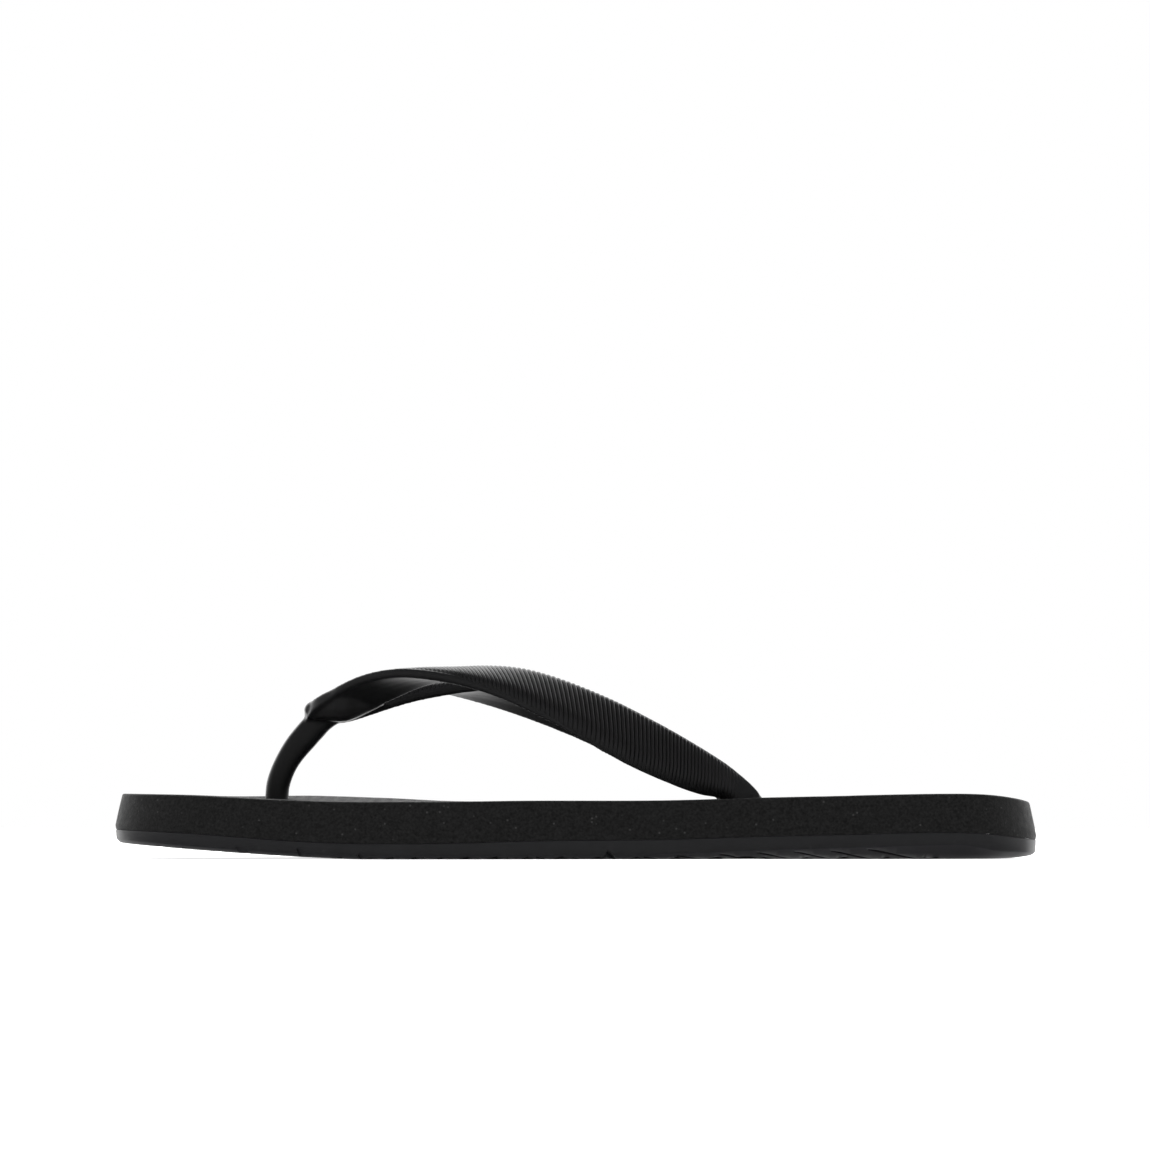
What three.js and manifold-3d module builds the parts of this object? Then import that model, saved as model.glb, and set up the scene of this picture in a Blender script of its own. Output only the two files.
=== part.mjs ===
// A men's flip flop for the left foot: an EVA foam midsole bonded to a rubber outsole, and a
// Y-shaped strap moulded in one piece with its toe post, its two arms and its three plugs.
// Millimetres, +Z up. The toe points to -X and the heel to +X, the outer (lateral) side of the
// foot is -Y and the inner (medial) side is +Y. The origin is the bottom centre of the model.
import * as THREE from 'three';
import { mergeVertices } from 'three/addons/utils/BufferGeometryUtils.js';
import Module from 'manifold-3d';

const wasm = await Module();
wasm.setup();

// ---------------------------------------------------------------- sole
const soleLength = 290;
const forefootWidth = 106;      // across the ball of the foot
const waistWidth = 79;          // across the arch
const heelWidth = 79;           // across the heel
const toeLean = 9;              // how far the toe end leans towards the big toe
const midsoleThickness = 12.5;  // foam, under the arch
const outsoleThickness = 6;     // rubber, under the arch
const toeSpring = 5;            // the tread's lift at the toe end
const toeSpringLength = 80;
const heelRocker = 1.2;         // the tread's lift at the back of the heel
const heelRockerLength = 16;
const wallFlare = 2.2;          // the footbed's edge lies this far inside the wall's foot
const footbedEdgeRadius = 1.2;
const bondLine = 0.3;           // glue line between the two layers
const treadBevel = 11;          // width of the bevel around the tread, at the heel
const treadBevelAtToe = 4;
const treadBevelRise = 4.2;     // height of that bevel at the heel
const treadBevelRiseAtToe = 0.9;

// ---------------------------------------------------------------- strap
const toePostFromToe = 51;      // along the sole
const toePostFromMedial = 41;   // across the sole, from its inner edge
const sidePlugFromHeel = 93;    // along the sole
const sidePlugInset = 11;       // across the sole, from the edge on each side
const strapRise = 41;           // crown of the arms above the footbed
const bandWidth = 21;           // each arm at its widest
const bandThickness = 3;        // at the smooth rims
const bandCrown = 1.2;          // how far the ribbed face stands above the rims
const rimWidth = 2.2;
const medialSag = 3.2;           // the inner arm hangs this much lower
const medialSweepShare = 0.6;   // the inner arm splays less than the outer one
const postLength = 7.4;         // the post's section along the sole
const postWidth = 8.4;          // and across it
const rootLength = 13.4;        // where an arm dips into the footbed: along the sole
const rootWidth = 5.4;          // and across it
const stemDiameter = 7;
const pocketDepth = 4.5;        // how deep the post and the arms sit in the footbed
const flangeDiameter = 13;
const flangeThickness = 2.2;
const fit = 0.3;                // gap between the strap and the sole around it
const flangeFit = 0.6;          // gap around a flange in its counterbore

// ---------------------------------------------------------------- resolution
const soleSteps = 56;           // stations along the sole
const armSteps = 44;            // stations along an arm
const postSteps = 14;
const ovalSides = 20;

const rubberBlack = new THREE.MeshStandardMaterial({ color: '#2a2a2d', roughness: 0.55, metalness: 0 });
const foamBlack = new THREE.MeshStandardMaterial({ color: '#1f1f1f', roughness: 0.95, metalness: 0 });
const strapBlack = new THREE.MeshStandardMaterial({ color: '#1a1a1a', roughness: 0.4, metalness: 0 });

const half = soleLength / 2;
const postX = -half + toePostFromToe;
const plugX = half - sidePlugFromHeel;

// A smooth curve through [at, value] pairs, read at any place between them.
function smooth(pairs) {
  const slope = pairs.map((p, i) => {
    const a = pairs[Math.max(i - 1, 0)];
    const b = pairs[Math.min(i + 1, pairs.length - 1)];
    return (b[1] - a[1]) / (b[0] - a[0]);
  });
  return (at) => {
    const last = pairs.length - 1;
    if (at <= pairs[0][0]) return pairs[0][1];
    if (at >= pairs[last][0]) return pairs[last][1];
    let i = 0;
    while (at > pairs[i + 1][0]) i += 1;
    const span = pairs[i + 1][0] - pairs[i][0];
    const t = (at - pairs[i][0]) / span;
    const t2 = t * t;
    const t3 = t2 * t;
    return (2 * t3 - 3 * t2 + 1) * pairs[i][1] + (t3 - 2 * t2 + t) * span * slope[i]
      + (3 * t2 - 2 * t3) * pairs[i + 1][1] + (t3 - t2) * span * slope[i + 1];
  };
}

// The plan of the sole: its whole width and its middle line, by the angle whose cosine gives the
// place along the sole, so that both ends come out round.
const soleWidth = smooth([
  [0, 0], [16.5, 0.36 * forefootWidth], [33, 0.66 * forefootWidth], [49, 0.89 * forefootWidth],
  [65, forefootWidth], [80, 0.9 * forefootWidth], [96, 1.06 * waistWidth], [108, waistWidth],
  [131, heelWidth], [149, 0.83 * heelWidth], [166, 0.42 * heelWidth], [180, 0],
]);
const soleMiddle = smooth([
  [0, toeLean], [30, 0.65 * toeLean], [65, 0.17 * toeLean], [80, -1.5], [108, -1.2], [180, 0],
]);

function angleAt(x) {
  return THREE.MathUtils.radToDeg(Math.acos(THREE.MathUtils.clamp(-x / half, -1, 1)));
}

function edgeAt(x, side) {
  const angle = angleAt(x);
  return soleMiddle(angle) + side * soleWidth(angle) / 2;
}

// Heights along the sole, by the share of its length from the toe.
const treadHeight = (x) => {
  const toe = Math.max(0, -x - (half - toeSpringLength)) / toeSpringLength;
  const heel = Math.max(0, x - (half - heelRockerLength)) / heelRockerLength;
  return toeSpring * toe ** 1.35 + heelRocker * heel ** 2;
};
const seamShare = smooth([
  [0, 0.68], [0.09, 0.83], [0.2, 0.8], [0.3, 0.81], [0.36, 0.82],
  [0.46, 0.95], [0.6, 1.02], [0.7, 1.17], [0.8, 1.28], [0.89, 1.37], [0.95, 1.25], [1, 0.78],
]);
const footbedShare = smooth([
  [0, 0.9], [0.1, 0.95], [0.26, 1.02], [0.36, 1.02], [0.5, 0.975], [0.7, 0.955], [1, 0.955],
]);
const seamHeight = (x) => treadHeight(x) + outsoleThickness * seamShare(x / soleLength + 0.5);
const seatStart = 0.81;         // the heel seat is level from here to the back
const footbedHeight = (x) => {
  const at = Math.min(x / soleLength + 0.5, seatStart);
  const level = (at - 0.5) * soleLength;
  return seamHeight(level) + midsoleThickness * footbedShare(at);
};
const footbedRound = smooth([[0.95, 0], [0.975, 0.7], [1, 2.6]]);
const edgeRise = smooth([
  [0, treadBevelRiseAtToe], [0.55, 1.4 * treadBevelRiseAtToe], [0.7, 0.65 * treadBevelRise],
  [0.88, treadBevelRise], [0.95, 0.9 * treadBevelRise], [1, 0.4 * treadBevelRise],
]);
const bevelWidth = smooth([
  [0, treadBevelAtToe], [0.55, treadBevelAtToe], [0.75, treadBevel], [1, treadBevel],
]);

// ---------------------------------------------------------------- mesh helpers
function geometryFrom(points, triangles) {
  const geometry = new THREE.BufferGeometry();
  const places = points.flatMap((p) => p.toArray());
  geometry.setAttribute('position', new THREE.Float32BufferAttribute(places, 3));
  geometry.setIndex(triangles.flat());
  return geometry;
}

function enclosedVolume(points, triangles) {
  const cross = new THREE.Vector3();
  return triangles.reduce((sum, [a, b, c]) => (
    sum + cross.crossVectors(points[b], points[c]).dot(points[a]) / 6), 0);
}

// A closed solid through rings of equally many points. cap(count) lists a ring's own triangles.
function loft(rings, cap) {
  const count = rings[0].length;
  const points = rings.flat();
  const triangles = [];
  for (let r = 0; r + 1 < rings.length; r += 1) {
    for (let i = 0; i < count; i += 1) {
      const j = (i + 1) % count;
      const [a, b] = [r * count + i, r * count + j];
      triangles.push([a, b, b + count], [a, b + count, a + count]);
    }
  }
  const end = (rings.length - 1) * count;
  for (const [a, b, c] of cap(count)) {
    triangles.push([c, b, a], [end + a, end + b, end + c]);
  }
  const outward = enclosedVolume(points, triangles) > 0;
  return geometryFrom(points, outward ? triangles : triangles.map(([a, b, c]) => [c, b, a]));
}

// A ring that runs down one side and back up the other is capped by rungs from side to side.
function rungs(count) {
  const triangles = [];
  for (let i = 1; i <= count / 2; i += 1) {
    const [left, right] = [i, (count - i) % count];
    triangles.push([i - 1, left, (right + 1) % count]);
    if (left !== right) triangles.push([left, right, (right + 1) % count]);
  }
  return triangles.filter((t) => new Set(t).size === 3);
}

function fan(count) {
  return Array.from({ length: count - 2 }, (_, i) => [0, i + 1, i + 2]);
}

function toManifold(geometry) {
  const bare = geometry.clone();
  bare.deleteAttribute('normal');
  bare.deleteAttribute('uv');
  const merged = mergeVertices(bare, 1e-4);
  return new wasm.Manifold(new wasm.Mesh({
    numProp: 3,
    vertProperties: new Float32Array(merged.attributes.position.array),
    triVerts: new Uint32Array(merged.index.array),
  }));
}

function fromManifold(solid) {
  const mesh = solid.getMesh();
  const geometry = new THREE.BufferGeometry();
  geometry.setAttribute('position', new THREE.Float32BufferAttribute(mesh.vertProperties, 3));
  geometry.setIndex(new THREE.Uint32BufferAttribute(mesh.triVerts, 1));
  return geometry;
}

// An upright prism with an oval section, from one height to another.
function uprightOval(x, y, length, width, low, high) {
  const ring = (z) => Array.from({ length: ovalSides }, (_, i) => {
    const turn = (2 * Math.PI * i) / ovalSides;
    return new THREE.Vector3(x + Math.cos(turn) * length / 2, y + Math.sin(turn) * width / 2, z);
  });
  return toManifold(loft([ring(low), ring(high)], fan));
}

// ---------------------------------------------------------------- the sole's solids
// One outline of the sole, drawn in at its ends and sides, at a height given by its place.
function soleRing(endInset, sideInset, height) {
  const widest = Math.max(forefootWidth, heelWidth) / 2;
  const point = (step, side) => {
    const turn = (Math.PI * step) / soleSteps;
    const angle = THREE.MathUtils.radToDeg(turn);
    const x = -Math.cos(turn) * (half - endInset);
    const inset = typeof sideInset === 'function' ? sideInset(x) : sideInset;
    const halfWidth = (soleWidth(angle) / 2) * (1 - inset / widest);
    return new THREE.Vector3(x, soleMiddle(angle) + side * halfWidth, height(x));
  };
  const ring = [];
  for (let step = 0; step <= soleSteps; step += 1) ring.push(point(step, -1));
  for (let step = soleSteps - 1; step > 0; step -= 1) ring.push(point(step, 1));
  return ring;
}

function midsoleBody() {
  const base = (x) => seamHeight(x) + bondLine / 2;
  const top = (x) => footbedHeight(x) - footbedRound(x / soleLength + 0.5);
  const part = (share) => (x) => base(x) + (top(x) - base(x)) * share;
  const rings = [
    soleRing(0.4, 0.4, base),
    soleRing(0, 0, (x) => base(x) + 1),
    soleRing(wallFlare * 0.4, wallFlare * 0.4, part(0.5)),
    soleRing(wallFlare, wallFlare, (x) => top(x) - footbedEdgeRadius),
    soleRing(wallFlare + 0.35 * footbedEdgeRadius, wallFlare + 0.35 * footbedEdgeRadius,
      (x) => top(x) - 0.3 * footbedEdgeRadius),
    soleRing(wallFlare + footbedEdgeRadius, wallFlare + footbedEdgeRadius, top),
  ];
  return toManifold(loft(rings, rungs));
}

function outsoleBody() {
  const top = (x) => seamHeight(x) - bondLine / 2;
  const edge = (x) => treadHeight(x) + edgeRise(x / soleLength + 0.5);
  const bevel = (x) => bevelWidth(x / soleLength + 0.5);
  const rings = [
    soleRing(0.7, 0.7, top),
    soleRing(0.3, 0.3, (x) => top(x) - 0.5),
    soleRing(0.5, 0.5, (x) => edge(x) + 0.6),
    soleRing(1.1, 1.1, edge),
    soleRing(treadBevelAtToe, bevel, treadHeight),
  ];
  return toManifold(loft(rings, rungs));
}

// The three places where the strap goes through the sole.
const seats = [
  { x: postX, y: edgeAt(postX, 1) - toePostFromMedial, length: postLength, width: postWidth },
  { x: plugX, y: edgeAt(plugX, -1) + sidePlugInset, length: rootLength, width: rootWidth },
  { x: plugX, y: edgeAt(plugX, 1) - sidePlugInset, length: rootLength, width: rootWidth },
];
const [toeSeat, lateralSeat, medialSeat] = seats;

// ---------------------------------------------------------------- the strap's solids
// Stations of an arm from the nose to its root. reach and splay place the inner edge between the
// toe post and the side plug, height is a share of the rise, and breadth is a share of the band's
// width. sweep and tilt, in degrees, turn the band forwards and lift its outer edge.
const armStations = [
  { reach: 0.063, splay: 0, height: 0.651, sweep: 40, tilt: 10, breadth: 0.05 },
  { reach: 0.096, splay: 0, height: 0.637, sweep: 16, tilt: 31, breadth: 0.42 },
  { reach: 0.130, splay: 0, height: 0.627, sweep: 10, tilt: 35, breadth: 0.64 },
  { reach: 0.155, splay: 0.01, height: 0.632, sweep: 13, tilt: 34, breadth: 0.75 },
  { reach: 0.226, splay: 0.087, height: 0.744, sweep: 21, tilt: 26, breadth: 0.81 },
  { reach: 0.318, splay: 0.224, height: 0.870, sweep: 25, tilt: 12, breadth: 0.87 },
  { reach: 0.432, splay: 0.368, height: 0.965, sweep: 25, tilt: -7, breadth: 0.91 },
  { reach: 0.541, splay: 0.513, height: 0.955, sweep: 26, tilt: -19, breadth: 0.98 },
  { reach: 0.671, splay: 0.671, height: 0.798, sweep: 27, tilt: -27, breadth: 1 },
  { reach: 0.798, splay: 0.789, height: 0.576, sweep: 30, tilt: -34, breadth: 0.96 },
  { reach: 0.911, splay: 0.895, height: 0.348, sweep: 43, tilt: -34, breadth: 0.77 },
  { reach: 0.986, splay: 0.961, height: 0.178, sweep: 62, tilt: -27, breadth: 0.60 },
  { reach: 1.034, splay: 1, height: 0.035, sweep: 78, tilt: -6, breadth: 0.58 },
  { reach: 1.040, splay: 1, height: -0.05, sweep: 80, tilt: 0, breadth: 0.58 },
];

function armCurves(seat, side) {
  const spread = Math.abs(seat.y - toeSeat.y) - 1.2;
  const sweepShare = side > 0 ? medialSweepShare : 1;
  const inner = [];
  const outer = [];
  for (const row of armStations) {
    const x = postX + row.reach * (plugX - postX);
    const y = toeSeat.y + side * row.splay * spread;
    const place = THREE.MathUtils.clamp((row.reach - 0.13) / 0.72, 0, 1);
    const sag = side > 0 ? medialSag * Math.sin(Math.PI * place) ** 2 : 0;
    const level = THREE.MathUtils.lerp(footbedHeight(postX), footbedHeight(plugX), row.reach);
    const start = new THREE.Vector3(x, y, level + row.height * strapRise - sag);
    const late = THREE.MathUtils.smoothstep(row.reach, 0.8, 1);
    const sweep = THREE.MathUtils.degToRad(row.sweep * THREE.MathUtils.lerp(sweepShare, 1, late));
    const tilt = THREE.MathUtils.degToRad(row.tilt);
    const across = new THREE.Vector3(
      -Math.sin(sweep) * Math.cos(tilt), side * Math.cos(sweep) * Math.cos(tilt), Math.sin(tilt));
    inner.push(start);
    outer.push(start.clone().addScaledVector(across, row.breadth * bandWidth));
  }
  return [new THREE.CatmullRomCurve3(inner), new THREE.CatmullRomCurve3(outer)];
}

// One arm: a band with smooth rims and a raised face between them.
function arm(seat, side) {
  const [inner, outer] = armCurves(seat, side);
  const rings = [];
  for (let step = 0; step <= armSteps; step += 1) {
    const t = step / armSteps;
    const from = inner.getPoint(t);
    const to = outer.getPoint(t);
    const across = to.clone().sub(from);
    const breadth = across.length();
    across.normalize();
    const travel = inner.getTangent(t).add(outer.getTangent(t)).normalize();
    const up = new THREE.Vector3().crossVectors(across, travel).multiplyScalar(-side).normalize();
    const scale = Math.min(1, breadth / (0.5 * bandWidth));
    const rim = Math.min(rimWidth, breadth * 0.3);
    const low = -bandThickness / 2;
    const high = bandThickness / 2;
    const crown = high + bandCrown * scale;
    const section = [
      [0, low], [breadth, low], [breadth + 0.3 * scale, 0], [breadth, high], [breadth - rim, high],
      [breadth - 1.6 * rim, crown], [1.6 * rim, crown], [rim, high], [0, high], [-0.3 * scale, 0],
    ];
    rings.push(section.map(([u, v]) => (
      from.clone().addScaledVector(across, u).addScaledVector(up, v))));
  }
  return toManifold(loft(rings, fan));
}

// The toe post: an oval column that leans back into the nose.
function toePost() {
  const deck = footbedHeight(postX);
  const lean = [[0, -0.5], [0, 0.8], [0.3, 0.107 * strapRise], [1.3, 0.19 * strapRise],
    [2.7, 0.268 * strapRise], [4.5, 0.344 * strapRise], [6.5, 0.412 * strapRise],
    [8.8, 0.478 * strapRise], [11.2, 0.544 * strapRise], [13.6, 0.6 * strapRise],
    [16, 0.65 * strapRise]];
  const middle = new THREE.CatmullRomCurve3(
    lean.map(([back, up]) => new THREE.Vector3(postX + back, toeSeat.y, deck + up)));
  const rings = [];
  for (let step = 0; step <= postSteps; step += 1) {
    const t = step / postSteps;
    const centre = middle.getPoint(t);
    const travel = middle.getTangent(t);
    const along = new THREE.Vector3(travel.z, 0, -travel.x);
    const swell = THREE.MathUtils.smoothstep(t, 0.5, 1);
    const length = postLength * (1 + 0.12 * swell);
    const width = postWidth * (1 + 0.35 * swell);
    rings.push(Array.from({ length: ovalSides }, (_, i) => {
      const turn = (2 * Math.PI * i) / ovalSides;
      const point = centre.clone().addScaledVector(along, Math.cos(turn) * length / 2);
      point.y += Math.sin(turn) * width / 2;
      return point;
    }));
  }
  return toManifold(loft(rings, fan));
}

// What holds an end of the strap in the sole: a root in its pocket, a stem and a flange.
function plug(seat, rootTop) {
  const deck = footbedHeight(seat.x);
  const pocketFloor = deck - pocketDepth;
  const reach = flangeDiameter / 2;
  const flangeTop = Math.min(seamHeight(seat.x - reach), seamHeight(seat.x + reach)) - fit;
  const root = uprightOval(seat.x, seat.y, seat.length, seat.width, pocketFloor + fit, deck + rootTop);
  const stem = uprightOval(seat.x, seat.y, stemDiameter, stemDiameter,
    flangeTop - flangeThickness / 2, pocketFloor + 2 * fit);
  const flange = uprightOval(seat.x, seat.y, flangeDiameter, flangeDiameter,
    flangeTop - flangeThickness, flangeTop);
  return root.add(stem).add(flange);
}

// The arm's own end stops just above the footbed, where its root takes over.
function trimmedArm(seat, side) {
  const reach = rootLength / 2;
  const ground = Math.max(footbedHeight(seat.x - reach), footbedHeight(seat.x + reach)) + fit;
  const below = uprightOval(seat.x, seat.y, 4 * rootLength, 4 * rootLength, -30, ground);
  return arm(seat, side).subtract(below);
}

function strapBody() {
  return toePost()
    .add(plug(toeSeat, 0.4))
    .add(trimmedArm(lateralSeat, -1))
    .add(plug(lateralSeat, 1.2))
    .add(trimmedArm(medialSeat, 1))
    .add(plug(medialSeat, 1.2));
}

// Each seat's pocket and stem hole in the foam, and the flange's counterbore in the rubber.
function cutMidsole(body) {
  return seats.reduce((solid, seat) => {
    const deck = footbedHeight(seat.x);
    const pocket = uprightOval(seat.x, seat.y, seat.length + 2 * fit, seat.width + 2 * fit,
      deck - pocketDepth, deck + 10);
    const hole = uprightOval(seat.x, seat.y, stemDiameter + 2 * fit, stemDiameter + 2 * fit,
      -10, deck);
    return solid.subtract(pocket).subtract(hole);
  }, body);
}

function cutOutsole(body) {
  const bore = flangeDiameter + 2 * flangeFit;
  return seats.reduce((solid, seat) => (
    solid.subtract(uprightOval(seat.x, seat.y, bore, bore, -10, seamHeight(seat.x) + 10))), body);
}

function named(name, solid, material) {
  const mesh = new THREE.Mesh(fromManifold(solid), material);
  mesh.name = name;
  return mesh;
}

// ---------------------------------------------------------------- assembly
const flipFlop = new THREE.Group();
flipFlop.add(
  named('midsole', cutMidsole(midsoleBody()), foamBlack),
  named('outsole', cutOutsole(outsoleBody()), rubberBlack),
  named('strap', strapBody(), strapBlack),
);
const box = new THREE.Box3().setFromObject(flipFlop);
flipFlop.position.set(-(box.min.x + box.max.x) / 2, -(box.min.y + box.max.y) / 2, -box.min.z);

export default flipFlop;
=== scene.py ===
"""The looks of a men's flip flop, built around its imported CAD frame.

The frame holds three plain solids in metres, toe at -X, heel at +X, +Z up: the foam midsole, the
rubber outsole and the one-piece strap. Each is replaced here by a finished mesh of the same size:

* the midsole gets its rounded edge, a flared wall and the dimples pressed into its footbed,
* the outsole gets its bevelled edge, its arched tread grooves and its counterbores,
* the strap gets its blended nose and toe post, its smooth rims and its fine ribs.
"""

import logging
import math
from dataclasses import dataclass
from enum import Enum
from typing import Callable, Iterable, Sequence

import bmesh
import bpy
import numpy as np
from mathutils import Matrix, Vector


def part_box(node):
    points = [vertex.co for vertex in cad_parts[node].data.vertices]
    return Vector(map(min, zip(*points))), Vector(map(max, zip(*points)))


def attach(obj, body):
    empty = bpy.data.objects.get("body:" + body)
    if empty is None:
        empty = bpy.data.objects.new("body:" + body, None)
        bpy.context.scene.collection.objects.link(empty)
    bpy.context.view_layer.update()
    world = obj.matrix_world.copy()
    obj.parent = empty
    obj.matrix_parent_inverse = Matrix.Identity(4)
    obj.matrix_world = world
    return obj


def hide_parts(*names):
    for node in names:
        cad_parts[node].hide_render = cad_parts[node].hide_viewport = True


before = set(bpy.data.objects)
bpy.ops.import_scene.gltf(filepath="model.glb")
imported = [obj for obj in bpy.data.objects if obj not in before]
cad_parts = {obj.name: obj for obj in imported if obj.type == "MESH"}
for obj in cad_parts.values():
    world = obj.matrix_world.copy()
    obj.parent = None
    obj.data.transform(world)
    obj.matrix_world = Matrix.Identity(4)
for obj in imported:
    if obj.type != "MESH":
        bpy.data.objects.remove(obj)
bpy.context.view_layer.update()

logging.basicConfig(level=logging.INFO, format="%(levelname)s %(message)s")
LOG = logging.getLogger("flip_flop")

MM = 0.001

Curve = Callable[[np.ndarray], np.ndarray]


class Slot(Enum):
    """The record's material slots."""

    FOAM = "foam"
    TREAD = "tread_rubber"
    STRAP = "strap_rubber"


# ---------------------------------------------------------------- small tools
def linear(hex_colour: str) -> tuple[float, float, float, float]:
    """Turns an sRGB hex colour into the linear RGBA that a shader socket wants.

    Args:
        hex_colour: The colour as "#rrggbb".

    Returns:
        Linear red, green, blue and an alpha of one.
    """
    channels = [int(hex_colour[i:i + 2], 16) / 255 for i in (1, 3, 5)]
    lin = [c / 12.92 if c <= 0.04045 else ((c + 0.055) / 1.055) ** 2.4 for c in channels]
    return (lin[0], lin[1], lin[2], 1.0)


def add_node(tree: bpy.types.NodeTree, kind: str, settings: dict | None = None,
             inputs: dict | None = None) -> bpy.types.Node:
    """Adds a node, sets its properties, and fills or links its inputs.

    Args:
        tree: The shader or geometry node tree.
        kind: The node's type name.
        settings: Properties of the node by name.
        inputs: Values, output sockets, or nodes whose first output is meant, by input.

    Returns:
        The new node.
    """
    node = tree.nodes.new(kind)
    for name, value in (settings or {}).items():
        setattr(node, name, value)
    for key, value in (inputs or {}).items():
        socket = node.inputs[key]
        if isinstance(value, bpy.types.Node):
            value = value.outputs[0]
        if isinstance(value, bpy.types.NodeSocket):
            tree.links.new(value, socket)
        else:
            socket.default_value = value
    return node


def smooth_curve(pairs: Sequence[tuple[float, float]]) -> Curve:
    """Makes a smooth curve through (place, value) pairs.

    Args:
        pairs: The points, in rising order of place.

    Returns:
        A function from places to values, constant beyond the ends.
    """
    at = np.array([p[0] for p in pairs], float)
    value = np.array([p[1] for p in pairs], float)
    before = np.maximum(np.arange(len(at)) - 1, 0)
    after = np.minimum(np.arange(len(at)) + 1, len(at) - 1)
    slope = (value[after] - value[before]) / (at[after] - at[before])

    def read(places: np.ndarray) -> np.ndarray:
        """Reads the curve.

        Args:
            places: Where to read it.

        Returns:
            The values there.
        """
        x = np.clip(np.asarray(places, float), at[0], at[-1])
        i = np.clip(np.searchsorted(at, x, side="right") - 1, 0, len(at) - 2)
        span = at[i + 1] - at[i]
        t = (x - at[i]) / span
        return ((2 * t**3 - 3 * t**2 + 1) * value[i] + (t**3 - 2 * t**2 + t) * span * slope[i]
                + (3 * t**2 - 2 * t**3) * value[i + 1] + (t**3 - t**2) * span * slope[i + 1])

    return read


def smooth_step(low: float, high: float, x: np.ndarray) -> np.ndarray:
    """Eases from 0 to 1.

    Args:
        low: Where it leaves 0.
        high: Where it reaches 1.
        x: The places to read.

    Returns:
        The eased values.
    """
    t = np.clip((np.asarray(x, float) - low) / (high - low), 0, 1)
    return t * t * (3 - 2 * t)


def mesh_object(name: str, points: np.ndarray, faces: Iterable[Sequence[int]],
                floats: dict[str, np.ndarray] | None = None) -> bpy.types.Object:
    """Makes a mesh object from points in millimetres, with doubles merged and normals outward.

    Args:
        name: The object's name.
        points: Vertex places, one row each.
        faces: Vertex numbers of each face.
        floats: Values to keep on the vertices, by attribute name.

    Returns:
        The new object, linked to the scene.
    """
    mesh = bpy.data.meshes.new(name)
    mesh.from_pydata((np.asarray(points) * MM).tolist(), [], [tuple(f) for f in faces])
    for key, values in (floats or {}).items():
        attribute = mesh.attributes.new(key, "FLOAT", "POINT")
        attribute.data.foreach_set("value", np.asarray(values, np.float32))
    bm = bmesh.new()
    bm.from_mesh(mesh)
    bmesh.ops.remove_doubles(bm, verts=bm.verts, dist=1e-6)
    bmesh.ops.dissolve_degenerate(bm, edges=bm.edges, dist=1e-7)
    bmesh.ops.recalc_face_normals(bm, faces=bm.faces)
    if bm.calc_volume(signed=True) < 0:
        bmesh.ops.reverse_faces(bm, faces=bm.faces)
    bm.to_mesh(mesh)
    bm.free()
    mesh.shade_smooth()
    obj = bpy.data.objects.new(name, mesh)
    bpy.context.scene.collection.objects.link(obj)
    return obj


def bake_modifiers(obj: bpy.types.Object) -> bpy.types.Object:
    """Turns an object's evaluated shape into its plain mesh and drops its modifiers.

    Args:
        obj: The object with modifiers.

    Returns:
        The same object.
    """
    graph = bpy.context.evaluated_depsgraph_get()
    mesh = bpy.data.meshes.new_from_object(obj.evaluated_get(graph), depsgraph=graph)
    old = obj.data
    obj.modifiers.clear()
    obj.data = mesh
    bpy.data.meshes.remove(old)
    mesh.name = obj.name
    return obj


def combine(target: bpy.types.Object, others: Sequence[bpy.types.Object],
            operation: str) -> bpy.types.Object:
    """Cuts or joins other solids into a target, then removes them.

    Args:
        target: The solid that stays.
        others: The solids to cut away or to join.
        operation: "DIFFERENCE" or "UNION".

    Returns:
        The target with its new mesh.
    """
    for other in others:
        modifier = target.modifiers.new("boolean", "BOOLEAN")
        modifier.operation = operation
        modifier.solver = "MANIFOLD"
        modifier.object = other
    bake_modifiers(target)
    for other in others:
        bpy.data.objects.remove(other)
    return target


def shade_by_angle(obj: bpy.types.Object, degrees: float) -> None:
    """Shades smooth across soft edges and leaves sharper ones crisp.

    Args:
        obj: The object to shade.
        degrees: The angle from which an edge counts as sharp.
    """
    obj.data.shade_smooth()
    obj.data.set_sharp_from_angle(angle=math.radians(degrees))


def new_tree(name: str, inputs: dict[str, str]) -> tuple[
        bpy.types.NodeTree, bpy.types.bpy_prop_collection]:
    """Starts a geometry node tree that takes a geometry, some values and a material.

    Args:
        name: The tree's name.
        inputs: The kind of socket of each value, by name.

    Returns:
        The tree, and the sockets that give its inputs.
    """
    tree = bpy.data.node_groups.new(name, "GeometryNodeTree")
    tree.interface.new_socket("Geometry", in_out="OUTPUT", socket_type="NodeSocketGeometry")
    for key, kind in {"Geometry": "Geometry", **inputs, "Material": "Material"}.items():
        tree.interface.new_socket(key, in_out="INPUT", socket_type=f"NodeSocket{kind}")
    return tree, add_node(tree, "NodeGroupInput").outputs


def close_tree(tree: bpy.types.NodeTree, geometry: bpy.types.Node,
               material: bpy.types.NodeSocket) -> bpy.types.NodeTree:
    """Makes a tree's result real, gives it its material and ends the tree.

    Args:
        tree: The tree to end.
        geometry: The node whose first output is the result.
        material: The socket that gives the material.

    Returns:
        The same tree.
    """
    real = add_node(tree, "GeometryNodeRealizeInstances", inputs={0: geometry})
    dressed = add_node(tree, "GeometryNodeSetMaterial", inputs={
        "Geometry": real, "Material": material})
    add_node(tree, "NodeGroupOutput", inputs={0: dressed})
    return tree


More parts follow.
